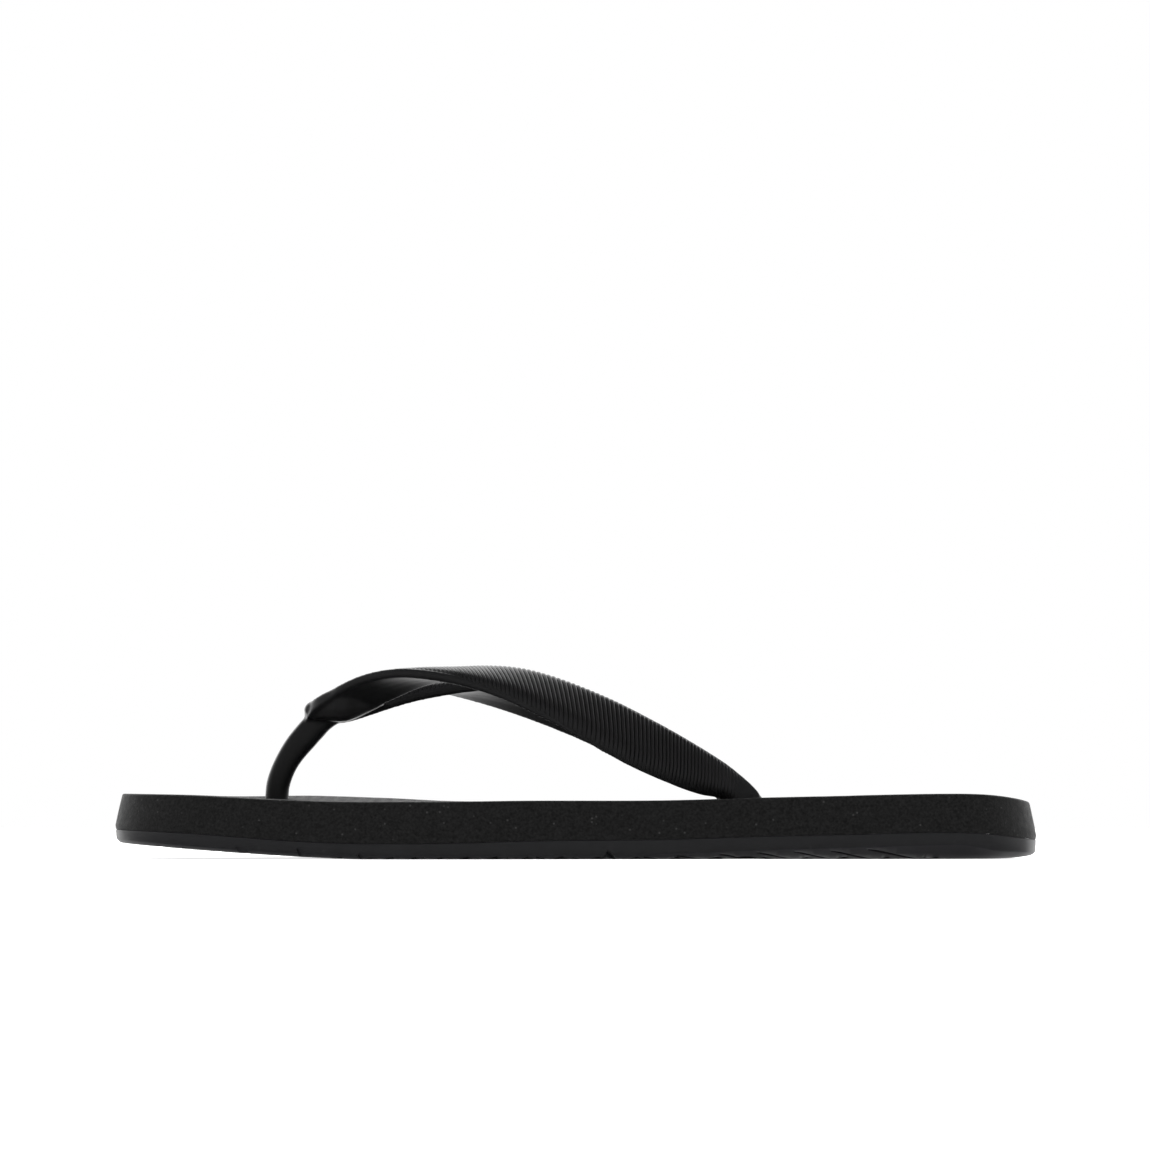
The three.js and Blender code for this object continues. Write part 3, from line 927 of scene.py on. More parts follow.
@dataclass
class Outsole:
    """The rubber layer, its bevelled edge and its grooved tread."""

    shape: SoleShape
    seats: Seats
    groove_pitch: float = 11.4
    groove_width: float = 3.0
    groove_depth: float = 1.2
    arc: float = 0.026
    wave_height: float = 1.5
    wave_length: float = 13.0
    solid_heel: float = 9.0
    overrun: float = 6.0
    draft: float = 0.35
    bow_from: float = -50.0
    bow_to: float = 80.0
    bow_at_toe: float = 0.25
    wave_full: float = 0.3
    wave_gone: float = 0.55
    level_normal: float = -0.998
    sloped_normal: float = -0.95
    slope_sink: float = 1.35
    missed_drop: float = 4.0
    bore_top: float = 20.0
    crisp_angle: float = 32.0
    groove_points: int = 121
    stations: int = 300
    across: int = 24

    def body(self) -> bpy.types.Object:
        """Lofts the layer from its tread up to the glue line.

        Returns:
            The layer, without grooves or counterbores.
        """
        shape = self.shape
        rings = []
        heights = []
        for wall in OUTSOLE_WALL:
            outline = shape.ring(self.stations, wall.end_inset, lambda x: (
                wall.bevel * shape.bevel_at(shape.share(x)) + wall.side_inset))
            x = outline[0]
            edge = shape.tread(x) + wall.rise * shape.edge_rise(shape.share(x))
            top = shape.seam(x) - shape.bond_line / 2
            height = edge * (1 - wall.seam) + top * wall.seam + wall.shift
            rings.append(outline)
            heights.append((height, height))
        return Slab(self.stations, self.across).build("outsole_rubber", rings, heights)

    def grooves(self) -> bpy.types.NodeTree:
        """Builds the tree that cuts arched, waved grooves across the tread.

        Returns:
            The geometry node tree.
        """
        tree, group = new_tree("tread_grooves", {
            "Count": "Int", "First": "Vector", "Step": "Vector", "Reach": "Vector",
            "Points": "Int", "Groove Depth": "Float", "Arc": "Float", "Wave Height": "Float",
            "Wave Length": "Float"})
        places = add_node(tree, "GeometryNodeMeshLine", {"mode": "OFFSET"}, {
            "Count": group["Count"], "Start Location": group["First"], "Offset": group["Step"]})
        back = add_node(tree, "ShaderNodeVectorMath", {"operation": "SCALE"}, {
            0: group["Reach"], "Scale": -1.0})
        line = add_node(tree, "GeometryNodeCurvePrimitiveLine", inputs={
            "Start": back, "End": group["Reach"]})
        fine = add_node(tree, "GeometryNodeResampleCurve", inputs={
            "Curve": line, "Count": group["Points"]})
        copies = add_node(tree, "GeometryNodeInstanceOnPoints", inputs={
            "Points": places, "Instance": fine})
        real = add_node(tree, "GeometryNodeRealizeInstances", inputs={0: copies})
        bent = add_node(tree, "GeometryNodeSetPosition", inputs={
            "Geometry": real, "Position": self.route(tree, group)})
        upright = add_node(tree, "GeometryNodeSetCurveNormal", {"mode": "Z_UP"}, {"Curve": bent})
        width = self.groove_width * MM
        profile = add_node(
            tree, "GeometryNodeCurvePrimitiveQuadrilateral", {"mode": "TRAPEZOID"},
            {"Height": 2 * self.groove_depth * MM, "Bottom Width": (1 + self.draft) * width,
             "Top Width": (1 - self.draft) * width, "Offset": 0.0})
        channels = add_node(tree, "GeometryNodeCurveToMesh", inputs={
            "Curve": upright, "Profile Curve": profile, "Fill Caps": True})
        cut = add_node(tree, "GeometryNodeMeshBoolean", {
            "operation": "DIFFERENCE", "solver": "MANIFOLD"},
            {"Mesh 1": group["Geometry"], "Mesh 2": channels})
        return close_tree(tree, cut, group["Material"])

    def route(self, tree: bpy.types.NodeTree,
              group: bpy.types.bpy_prop_collection) -> bpy.types.Node:
        """Bends straight lines into the grooves' arched, waved routes on the tread.

        Args:
            tree: The groove tree.
            group: The sockets that give its inputs.

        Returns:
            The node with each point's new place.
        """
        place = add_node(tree, "GeometryNodeInputPosition")
        split = add_node(tree, "ShaderNodeSeparateXYZ", inputs={0: place}).outputs
        # The bow grows from toe to heel.
        bend = add_node(tree, "ShaderNodeMapRange", inputs={
            "Value": split["X"], "From Min": self.bow_from * MM, "From Max": self.bow_to * MM,
            "To Min": self.bow_at_toe, "To Max": 1.0})
        bow = split["Y"]
        for factor in (split["Y"], group["Arc"], bend):
            bow = add_node(tree, "ShaderNodeMath", {"operation": "MULTIPLY"}, {
                0: bow, 1: factor})
        # The wave dies out towards the sides.
        half_span = add_node(tree, "ShaderNodeSeparateXYZ", inputs={0: group["Reach"]}).outputs
        aside = add_node(tree, "ShaderNodeMath", {"operation": "ABSOLUTE"}, {0: split["Y"]})
        reach = add_node(tree, "ShaderNodeMath", {"operation": "DIVIDE"}, {
            0: aside, 1: half_span["Y"]})
        calm = add_node(tree, "ShaderNodeMapRange", {"interpolation_type": "SMOOTHSTEP"}, {
            "Value": reach, "From Min": self.wave_full, "From Max": self.wave_gone,
            "To Min": 1.0, "To Max": 0.0})
        wave = split["Y"]
        for operation, value in (("DIVIDE", group["Wave Length"]), ("MULTIPLY", math.tau),
                                 ("SINE", 0.0), ("MULTIPLY", group["Wave Height"]),
                                 ("MULTIPLY", calm)):
            wave = add_node(tree, "ShaderNodeMath", {"operation": operation}, {
                0: wave, 1: value})
        bowed = add_node(tree, "ShaderNodeMath", {"operation": "SUBTRACT"}, {
            0: split["X"], 1: bow})
        along = add_node(tree, "ShaderNodeMath", {"operation": "ADD"}, {0: bowed, 1: wave})
        # Each point goes up to the underside, and deeper where that slopes.
        below = add_node(tree, "ShaderNodeCombineXYZ", inputs={
            "X": along, "Y": split["Y"], "Z": -0.05})
        ray = add_node(tree, "GeometryNodeRaycast", inputs={
            "Target Geometry": group["Geometry"], "Source Position": below,
            "Ray Direction": (0.0, 0.0, 1.0), "Ray Length": 0.2}).outputs
        underside = add_node(tree, "ShaderNodeSeparateXYZ", inputs={0: ray["Hit Position"]})
        slope = add_node(tree, "ShaderNodeSeparateXYZ", inputs={0: ray["Hit Normal"]})
        sunk = add_node(tree, "ShaderNodeMapRange", inputs={
            "Value": slope.outputs["Z"], "From Min": self.level_normal,
            "From Max": self.sloped_normal, "To Min": 0.0, "To Max": self.slope_sink})
        held = add_node(tree, "ShaderNodeMath", {"operation": "MULTIPLY"}, {
            0: sunk, 1: group["Groove Depth"]})
        floor = add_node(tree, "ShaderNodeMath", {"operation": "SUBTRACT"}, {
            0: underside.outputs["Z"], 1: held})
        level = add_node(tree, "GeometryNodeSwitch", {"input_type": "FLOAT"}, {
            "Switch": ray["Is Hit"], "False": -self.missed_drop * MM, "True": floor})
        return add_node(tree, "ShaderNodeCombineXYZ", inputs={
            "X": along, "Y": split["Y"], "Z": level})

    def build(self) -> bpy.types.Object:
        """Makes the finished outsole.

        Returns:
            The outsole's object.
        """
        material = MOULDED_OUTSOLE.material()
        piece = self.body()
        shape = self.shape
        run_tree(piece, self.grooves(), {
            "Count": int((shape.length - self.solid_heel) // self.groove_pitch),
            "First": ((shape.half - self.solid_heel) * MM, 0.0, 0.0),
            "Step": (-self.groove_pitch * MM, 0.0, 0.0),
            "Reach": (0.0, (shape.forefoot / 2 + self.overrun) * MM, 0.0),
            "Points": self.groove_points, "Groove Depth": self.groove_depth * MM,
            "Arc": self.arc / MM, "Wave Height": self.wave_height * MM,
            "Wave Length": self.wave_length * MM, "Material": material})
        bore = self.seats.flange + 2 * self.seats.flange_fit
        cutters = [oval_prism("counterbore", seat.x, seat.y, bore, bore,
                              -self.seats.cutter_below, self.bore_top)
                   for seat in self.seats.all()]
        combine(piece, cutters, "DIFFERENCE")
        shade_by_angle(piece, self.crisp_angle)
        dress(piece, material, "outsole", Slot.TREAD)
        return piece


# ---------------------------------------------------------------- moulded strap
class Side(Enum):
    """The two arms of the strap, by the direction that they take from the toe post."""

    OUTER = -1
    INNER = 1


@dataclass(frozen=True)
class Station:
    """One section of an arm.

    reach and splay place the inner edge between the toe post and the side plug, height is a share
    of the rise and breadth of the band's width. sweep and tilt, in degrees, turn the band forwards
    and lift its outer edge.
    """

    reach: float
    splay: float
    height: float
    sweep: float
    tilt: float
    breadth: float


ARM_STATIONS = (
    Station(0.063, 0.000, 0.651, 40, 10, 0.05),
    Station(0.096, 0.000, 0.637, 16, 31, 0.42),
    Station(0.130, 0.000, 0.627, 10, 35, 0.64),
    Station(0.155, 0.010, 0.632, 13, 34, 0.75),
    Station(0.226, 0.087, 0.744, 21, 26, 0.81),
    Station(0.318, 0.224, 0.870, 25, 12, 0.87),
    Station(0.432, 0.368, 0.965, 25, -7, 0.91),
    Station(0.541, 0.513, 0.955, 26, -19, 0.98),
    Station(0.671, 0.671, 0.798, 27, -27, 1.00),
    Station(0.798, 0.789, 0.576, 30, -34, 0.96),
    Station(0.911, 0.895, 0.348, 43, -34, 0.77),
    Station(0.986, 0.961, 0.178, 62, -27, 0.60),
    Station(1.034, 1.000, 0.035, 78, -6, 0.58),
    Station(1.040, 1.000, -0.050, 80, 0, 0.58),
)


# Along the strap, in millimetres from the shoe's middle: the ribs' spacing, how much further back
# each rib lies at the band's outer edge than at its inner one, the share of the rim kept smooth,
# how far the ribbed face wraps down over the outer edge, how much higher the inner edge of the
# outer arm runs, and how much lower that of the inner arm runs.
RIB_PITCH = smooth_curve([(-63, 1.32), (-33, 1.36), (-14, 1.46), (-4, 1.5), (5, 1.44), (14, 1.36),
                          (24, 1.22), (32, 1.1), (56, 1.0)])
RIB_LEAN = smooth_curve([(-63, 6.0), (-30, 4.8), (-14, 3.2), (5, 1.6), (30, -0.3), (56, -0.8)])
RIM_SHARE = smooth_curve([(-63, 0.35), (-30, 0.3), (0, 0.2), (20, 0.1), (56, 0.1)])
EDGE_WRAP = smooth_curve([(-36, 0), (-22, 0.4), (-8, 0.65), (4, 0.85), (16, 1), (46, 1),
                          (56, 0.3)])
INNER_LIFT = smooth_curve([(-72, 0), (-62, 0.1), (-54, 0.5), (-48, 0.9), (-42, 0.7), (-34, -0.2),
                           (-28, -0.2), (-10, 0), (6, 0.5), (16, 0.9), (46, 0.9), (56, 0)])
INNER_DROP = smooth_curve([(-82, 0), (-70, 0.7), (-62, 1.2), (-52, 0.9), (-42, 0.6), (-30, 0)])


def through_points(points: np.ndarray, samples: int) -> np.ndarray:
    """Runs a centripetal Catmull-Rom curve through points.

    Args:
        points: The points, one row each.
        samples: How many places to read, evenly by point number.

    Returns:
        The places on the curve, one row each.
    """
    padded = np.concatenate([[2 * points[0] - points[1]], points, [2 * points[-1] - points[-2]]])
    last = len(points) - 1
    place = np.linspace(0, last, samples)
    i = np.minimum(place.astype(int), last - 1)
    t = (place - i)[:, None]
    p0, p1, p2, p3 = (padded[i + k] for k in range(4))
    gaps = [np.maximum(np.linalg.norm(b - a, axis=1), 1e-9)[:, None] ** 0.5
            for a, b in ((p0, p1), (p1, p2), (p2, p3))]
    start = ((p1 - p0) / gaps[0] - (p2 - p0) / (gaps[0] + gaps[1]) + (p2 - p1) / gaps[1]) * gaps[1]
    end = ((p2 - p1) / gaps[1] - (p3 - p1) / (gaps[1] + gaps[2]) + (p3 - p2) / gaps[2]) * gaps[1]
    return ((2 * t**3 - 3 * t**2 + 1) * p1 + (t**3 - 2 * t**2 + t) * start
            + (3 * t**2 - 2 * t**3) * p2 + (t**3 - t**2) * end)


def eased(rows: np.ndarray, width: float) -> np.ndarray:
    """Smooths a run of places with a bell-shaped average that keeps both ends.

    Args:
        rows: The places, one row each.
        width: The bell's standard deviation, in rows.

    Returns:
        The smoothed places.
    """
    reach = int(3 * width)
    bell = np.exp(-0.5 * (np.arange(-reach, reach + 1) / width) ** 2)
    bell /= bell.sum()
    head = 2 * rows[0] - rows[1:reach + 1][::-1]
    tail = 2 * rows[-1] - rows[-reach - 1:-1][::-1]
    longer = np.concatenate([head, rows, tail])
    return np.stack([np.convolve(longer[:, k], bell, "valid") for k in range(rows.shape[1])], 1)


def plate_faces(columns: int, rows: int) -> list[tuple[int, int, int, int]]:
    """Lists the faces of a closed plate, whose upper points come before its lower ones.

    Args:
        columns: How many points lie along the plate.
        rows: How many lie across it.

    Returns:
        The point numbers of each face.
    """
    below = columns * rows
    faces = []
    for a in (i * rows + j for i in range(columns - 1) for j in range(rows - 1)):
        faces.append((a, a + 1, a + rows + 1, a + rows))
        faces.append((below + a, below + a + rows, below + a + rows + 1, below + a + 1))
    for a in (i * rows + j for i in range(columns - 1) for j in (0, rows - 1)):
        faces.append((a, a + rows, below + a + rows, below + a))
    for a in (i * rows + j for i in (0, columns - 1) for j in range(rows - 1)):
        faces.append((a, a + 1, below + a + 1, below + a))
    return faces


@dataclass
class Arm:
    """One arm of the strap, from the nose to the side plug, in millimetres."""

    seats: Seats
    side: Side
    rise: float = 41.0
    band_width: float = 21.0
    thickness: float = 3.0
    crown: float = 1.2
    rim: float = 2.2
    root_inset: float = 1.2
    edge_bell: float = 14.0
    sag_from: float = 0.13
    sag_span: float = 0.72
    medial_sag: float = 4.2
    medial_sweep: float = 0.6
    samples: int = 1200
    rib_height: float = 0.72
    rib_samples: int = 8
    rib_rows: int = 17
    ribs_from: float = -63.0
    ribs_to: float = 56.0
    outer_ease: float = 30.0
    inner_ease: float = 9.0
    fade_out: float = 28.0
    bulge: float = 0.35
    sink: float = 0.22
    plate_depth: float = 0.95
    wrap_reach: float = 4.5
    inner_shoulder: float = 0.25
    nose_filling: float = 2.2
    edge_drop: float = 2.1

    def __post_init__(self) -> None:
        """Places both edges of the band."""
        shape = self.seats.shape
        toe = self.seats.toe
        seat = self.seats.outer if self.side is Side.OUTER else self.seats.inner
        spread = abs(seat.y - toe.y) - self.root_inset
        decks = shape.footbed(np.array([toe.x, seat.x]))
        inner = []
        outer = []
        for row in ARM_STATIONS:
            place = min(max((row.reach - self.sag_from) / self.sag_span, 0), 1)
            sag = self.medial_sag * math.sin(math.pi * place) ** 2
            level = decks[0] + (decks[1] - decks[0]) * row.reach
            start = np.array([
                toe.x + row.reach * (seat.x - toe.x), toe.y + self.side.value * row.splay * spread,
                level + row.height * self.rise - (sag if self.side is Side.INNER else 0)])
            late = float(smooth_step(0.8, 1.0, row.reach))
            share = self.medial_sweep if self.side is Side.INNER else 1.0
            sweep = math.radians(row.sweep * (share + (1 - share) * late))
            tilt = math.radians(row.tilt)
            across = np.array([-math.sin(sweep) * math.cos(tilt),
                               self.side.value * math.cos(sweep) * math.cos(tilt), math.sin(tilt)])
            inner.append(start)
            outer.append(start + across * row.breadth * self.band_width)
        self.inner = eased(through_points(np.array(inner), self.samples), self.edge_bell)
        if self.side is Side.OUTER:
            self.inner[:, 2] += INNER_LIFT(self.inner[:, 0])
        else:
            self.inner[:, 2] -= INNER_DROP(self.inner[:, 0])
        self.outer = eased(through_points(np.array(outer), self.samples), self.edge_bell)

    def section(self, t: np.ndarray) -> tuple[np.ndarray, ...]:
        """Reads the band at places along it.

        Args:
            t: Places from 0 at the nose to 1 at the root, of any shape.

        Returns:
            The inner edge, the unit vector across, the unit vector up and the breadth.
        """
        grid = np.linspace(0, 1, self.samples)
        travel = np.gradient(self.inner, axis=0) + np.gradient(self.outer, axis=0)
        start, end, heading = (np.stack([np.interp(t, grid, rows[:, k]) for k in range(3)], -1)
                               for rows in (self.inner, self.outer, travel))
        across = end - start
        breadth = np.linalg.norm(across, axis=-1)
        across = across / breadth[..., None]
        up = np.cross(across, heading) * -self.side.value
        return start, across, up / np.linalg.norm(up, axis=-1)[..., None], breadth

    def core(self, steps: int = 260) -> bpy.types.Object:
        """Makes the smooth band without its ribbed face.

        Args:
            steps: How many sections there are along the arm.

        Returns:
            The band's object.
        """
        t = np.linspace(0, 1, steps)
        start, across, up, breadth = self.section(t)
        scale = np.minimum(1, breadth / (0.5 * self.band_width))
        rim = np.minimum(self.rim, breadth * 0.3)
        high = np.full(steps, self.thickness / 2)
        low = -high - self.nose_filling * (1 - smooth_step(0.0, 0.26, t))
        zero = np.zeros(steps)
        crown = high + 0.55 * self.crown * scale
        round_off = 0.5 * scale
        hollow = low + 0.35 * scale
        drop = self.edge_drop * EDGE_WRAP((self.inner[:, 0] + self.outer[:, 0])[
            np.linspace(0, self.samples - 1, steps).astype(int)] / 2)
        section = [
            (round_off, low), (0.3 * breadth, hollow), (0.5 * breadth, hollow + 0.1 * scale),
            (0.7 * breadth, hollow), (breadth - round_off, low),
            (breadth, low + round_off * (1 - drop / 3)),
            (breadth + 0.25 * scale * (1 - drop / 3), -0.5 * drop),
            (breadth, high - round_off - drop), (breadth - round_off, high - 0.9 * drop),
            (breadth - 0.6 * rim, high - 0.65 * drop),
            (breadth - 1.5 * rim, crown - 0.25 * drop),
            (0.5 * breadth, crown + 0.2 * scale), (1.2 * rim, crown), (0.5 * rim, high),
            (round_off, high), (zero, high - round_off),
            (-0.25 * scale, zero), (zero, low + round_off),
        ]
        rings = [start + across * u[:, None] + up * v[:, None] for u, v in section]
        return tube(f"arm_{self.side.name.lower()}", np.stack(rings, 1))

    def ribbed_face(self) -> bpy.types.Object:
        """Makes the thin plate that carries the ribs, sunk a little into the band.

        The plate's columns follow the ribs' own slant, so that each rib is cleanly shaped. Each
        vertex keeps how far through a rib it lies, and how strongly the ribs stand there.

        Returns:
            The plate's object.
        """
        grid = np.linspace(0, 1, self.samples)
        fine = np.linspace(self.ribs_from, self.ribs_to, 2001)
        ribs = np.r_[0, np.cumsum(np.diff(fine) / RIB_PITCH((fine[1:] + fine[:-1]) / 2))]
        columns = int(ribs[-1]) * self.rib_samples + 1
        x = np.interp(np.arange(columns) / self.rib_samples, ribs, fine)
        v = np.linspace(0, 1, self.rib_rows)[None, :]
        target = x[:, None] + RIB_LEAN(x)[:, None] * (v - 0.5)
        t = np.empty_like(target)
        for row, share in enumerate(v[0]):
            line = self.inner[:, 0] * (1 - share) + self.outer[:, 0] * share
            t[:, row] = np.interp(target[:, row], np.maximum.accumulate(line), grid)
        start, across, up, breadth = self.section(np.clip(t, 0.001, 0.999))
        rim = np.minimum(self.rim, breadth * 0.3)
        outer_shoulder = rim * RIM_SHARE(x)[:, None]
        u = self.inner_shoulder + (breadth - self.inner_shoulder - outer_shoulder) * v
        bulge = 1 - np.abs(2 * v - 1) ** 8
        ease_in = self.outer_ease if self.side is Side.OUTER else self.inner_ease
        fade_in = smooth_step(0, ease_in, x - self.ribs_from)[:, None]
        fade_out = smooth_step(0, self.fade_out, self.ribs_to - x)[:, None]
        stand = fade_in * fade_out
        scale = np.minimum(1, breadth / (0.5 * self.band_width))
        base = self.thickness / 2
        wrap = self.edge_drop * EDGE_WRAP(x)[:, None] * np.clip(
            (u - breadth + self.wrap_reach) / self.wrap_reach, 0, 1) ** 1.8
        crown = self.crown * scale * 0.7 * (1 - np.abs(2 * v - 1) ** 3)
        top_v = base - self.bulge + self.bulge * bulge + crown + self.sink * (stand - 1) - wrap
        low_v = base - self.plate_depth - wrap
        top = start + across * u[..., None] + up * top_v[..., None]
        low = start + across * u[..., None] + up * low_v[..., None]
        points = np.concatenate([top.reshape(-1, 3), low.reshape(-1, 3)])
        phase = np.repeat(np.arange(columns)[:, None] / self.rib_samples, self.rib_rows, 1)
        crest = np.clip(bulge * 1.5, 0, 1) * stand ** 0.7
        lift = np.concatenate([crest.ravel(), np.zeros(crest.size)])
        both = np.concatenate([up.reshape(-1, 3), up.reshape(-1, 3)])
        floats = {"rib_phase": np.r_[phase.ravel(), phase.ravel()], "rib_lift": lift,
                  "up_x": both[:, 0], "up_y": both[:, 1], "up_z": both[:, 2]}
        return mesh_object(f"ribs_{self.side.name.lower()}", points,
                           plate_faces(columns, self.rib_rows), floats)


# The toe post's middle line above the footbed: millimetres back from its foot, and the share of
# the strap's rise there.
POST_LEAN = ((0.3, 0.107), (1.3, 0.19), (2.7, 0.268), (4.5, 0.344), (6.5, 0.412), (8.8, 0.478),
             (11.2, 0.544), (13.8, 0.594), (16.8, 0.626), (20, 0.645), (23, 0.655))

# Half of the nose wedge's section, from the bottom up: the share of the way out to the arm's outer
# edge, and the share of the way up to it.
NOSE_FLANK = ((0.72, 0.0), (0.92, 0.14), (0.99, 0.45), (0.99, 0.85))


@dataclass
class Strap:
    """The one-piece moulding: toe post, nose, two arms, and three plugs in the sole."""

    seats: Seats
    foam: Midsole
    rise: float = 41.0
    voxel: float = 0.52
    smoothing: int = 4
    crisp_angle: float = 60.0
    toe_root_up: float = 0.4
    root_up: float = 0.2
    post_steps: int = 60
    sides: int = 40
    post_sunk: float = 1.5
    post_foot: float = 0.8
    post_swell: float = 0.14
    post_taper: float = 0.68
    post_narrowing: float = 0.15
    post_squareness: float = 0.3
    nose_from: float = 9.6
    nose_to: float = 34.0
    nose_full: float = 7.0
    nose_roof: float = 0.64
    tip_back: float = 12.8
    tip_height: float = 0.687
    tip_radii: tuple[float, float, float] = (4.2, 5.4, 3.1)

    def post(self) -> bpy.types.Object:
        """Makes the toe post, an oval column that leans back into the nose.

        Returns:
            The post's object.
        """
        toe = self.seats.toe
        deck = float(self.seats.shape.footbed(toe.x))
        lean = [(0, -self.post_sunk), (0, self.post_foot)]
        lean += [(back, share * self.rise) for back, share in POST_LEAN]
        rows = np.array([(toe.x + back, toe.y, deck + up) for back, up in lean])
        middle = through_points(rows, self.post_steps)
        travel = np.gradient(middle, axis=0)
        travel /= np.linalg.norm(travel, axis=1)[:, None]
        t = np.linspace(0, 1, self.post_steps)
        length = toe.length * (1 + self.post_swell * smooth_step(0.3, 0.6, t)
                               - self.post_taper * smooth_step(0.66, 1, t))
        width = toe.width * (1 - self.post_narrowing * smooth_step(0.6, 1, t))
        turn = np.linspace(0, math.tau, self.sides, endpoint=False)
        along = np.stack([travel[:, 2], np.zeros(self.post_steps), -travel[:, 0]], 1)
        squareness = 1 / (1 + self.post_squareness * smooth_step(0.08, 0.25, t))[:, None]
        fore = np.sign(np.cos(turn)) * np.abs(np.cos(turn)) ** squareness
        side = np.sign(np.sin(turn)) * np.abs(np.sin(turn)) ** squareness
        ring = middle[:, None, :] + along[:, None, :] * (fore * length[:, None] / 2)[..., None]
        ring[..., 1] += side * width[:, None] / 2
        return tube("toe_post", ring)

    def nose(self, arms: Sequence[Arm], steps: int = 40) -> bpy.types.Object:
        """Fills the hollow under the nose, between the two arms, with a blunt wedge.

        Args:
            arms: Both arms.
            steps: How many sections the wedge has.

        Returns:
            The wedge's object.
        """
        toe = self.seats.toe
        x = np.linspace(toe.x + self.nose_from, toe.x + self.nose_to, steps)
        deck = float(self.seats.shape.footbed(toe.x))
        valley = np.maximum.accumulate(arms[0].inner[:, 0])
        floor = np.interp(x, valley, arms[0].inner[:, 2]) - 1.3
        full = 1 - smooth_step(x[0] + self.nose_full, x[-1], x)
        points = []
        for arm in arms:
            along = np.maximum.accumulate(arm.outer[:, 0])
            edge_y = np.interp(x, along, arm.outer[:, 1]) - toe.y
            edge_z = np.interp(x, along, arm.outer[:, 2]) - 0.6
            rows = [(toe.y + edge_y * out * (0.2 + 0.8 * full),
                     floor + (edge_z - floor) * up * (0.3 + 0.7 * full))
                    for out, up in NOSE_FLANK]
            points += rows if arm.side is Side.OUTER else rows[::-1]
            if arm.side is Side.OUTER:
                roof = np.maximum(deck + self.nose_roof * self.rise, floor + 1.5)
                points.append((np.full(steps, toe.y), roof))
        return tube("nose", np.stack([np.stack([x, y, z], 1) for y, z in points], 1))

    def tip(self) -> bpy.types.Object:
        """Rounds off the front of the nose with a small soft-edged drum that lies across it.

        Returns:
            The drum's object.
        """
        toe = self.seats.toe
        deck = float(self.seats.shape.footbed(toe.x))
        centre = (toe.x + self.tip_back, toe.y, deck + self.tip_height * self.rise)
        bm = bmesh.new()
        bmesh.ops.create_uvsphere(bm, u_segments=48, v_segments=32, radius=1.0)
        ball = np.array([v.co[:] for v in bm.verts])
        ball /= (np.hypot(ball[:, 0], ball[:, 2]) ** 4 + ball[:, 1] ** 4)[:, None] ** 0.25
        points = ball * self.tip_radii + centre
        faces = [[v.index for v in f.verts] for f in bm.faces]
        bm.free()
        return mesh_object("nose_tip", points, faces)

    def plug(self, seat: Seat, above: float) -> list[bpy.types.Object]:
        """Makes the root, the stem and the flange that hold one end in the sole.

        Args:
            seat: Where they go through the sole.
            above: How far the root stands above the footbed.

        Returns:
            The three solids.
        """
        deck = float(self.seats.shape.footbed(seat.x))
        floor = deck - self.seats.pocket_depth
        flange_top = self.seats.flange_top(seat)
        fit = self.seats.fit
        return [
            oval_prism("root", seat.x, seat.y, seat.length, seat.width, floor + fit, deck + above),
            oval_prism("stem", seat.x, seat.y, self.seats.stem, self.seats.stem,
                       flange_top - 1, floor + 2 * fit),
            oval_prism("flange", seat.x, seat.y, self.seats.flange, self.seats.flange,
                       flange_top - self.seats.flange_thickness, flange_top),
        ]

    def ribbing(self) -> bpy.types.NodeTree:
        """Builds the tree that raises the ribs out of a plate.

        Returns:
            The geometry node tree.
        """
        tree, group = new_tree("moulded_ribs", {"Rib Height": "Float"})
        kept = {name: add_node(tree, "GeometryNodeInputNamedAttribute", {"data_type": "FLOAT"},
                               {"Name": name})
                for name in ("rib_phase", "rib_lift", "up_x", "up_y", "up_z")}
        height = kept["rib_phase"]
        for operation, value in (("FRACT", 0.0), ("MULTIPLY", 2.0), ("SUBTRACT", 1.0),
                                 ("ABSOLUTE", 0.0), ("POWER", 2.2), ("MULTIPLY", -1.0),
                                 ("ADD", 1.0), ("MAXIMUM", 0.0), ("SQRT", 0.0),
                                 ("MULTIPLY", kept["rib_lift"]),
                                 ("MULTIPLY", group["Rib Height"])):
            height = add_node(tree, "ShaderNodeMath", {"operation": operation}, {
                0: height, 1: value})
        up = add_node(tree, "ShaderNodeCombineXYZ", inputs={
            "X": kept["up_x"], "Y": kept["up_y"], "Z": kept["up_z"]})
        offset = add_node(tree, "ShaderNodeVectorMath", {"operation": "SCALE"}, {
            0: up, "Scale": height})
        moved = add_node(tree, "GeometryNodeSetPosition", inputs={
            "Geometry": group["Geometry"], "Offset": offset})
        return close_tree(tree, moved, group["Material"])

    def core(self, arms: Sequence[Arm]) -> bpy.types.Object:
        """Blends the arms, the post and the plugs into one smooth body.

        Args:
            arms: Both arms.

        Returns:
            The blended body.
        """
        parts = [arm.core() for arm in arms] + [self.post(), self.nose(arms), self.tip()]
        for seat in self.seats.all():
            parts += self.plug(seat, self.toe_root_up if seat is self.seats.toe else self.root_up)
        body = bpy.data.objects.new("strap_rubber", bpy.data.meshes.new("strap_rubber"))
        bpy.context.scene.collection.objects.link(body)
        joined = bmesh.new()
        for part in parts:
            joined.from_mesh(part.data)
            bpy.data.objects.remove(part)
        joined.to_mesh(body.data)
        joined.free()
        remesh = body.modifiers.new("blend", "REMESH")
        remesh.mode = "VOXEL"
        remesh.voxel_size = self.voxel * MM
        ease = body.modifiers.new("ease", "SMOOTH")
        ease.factor = 0.5
        ease.iterations = self.smoothing
        return bake_modifiers(body)

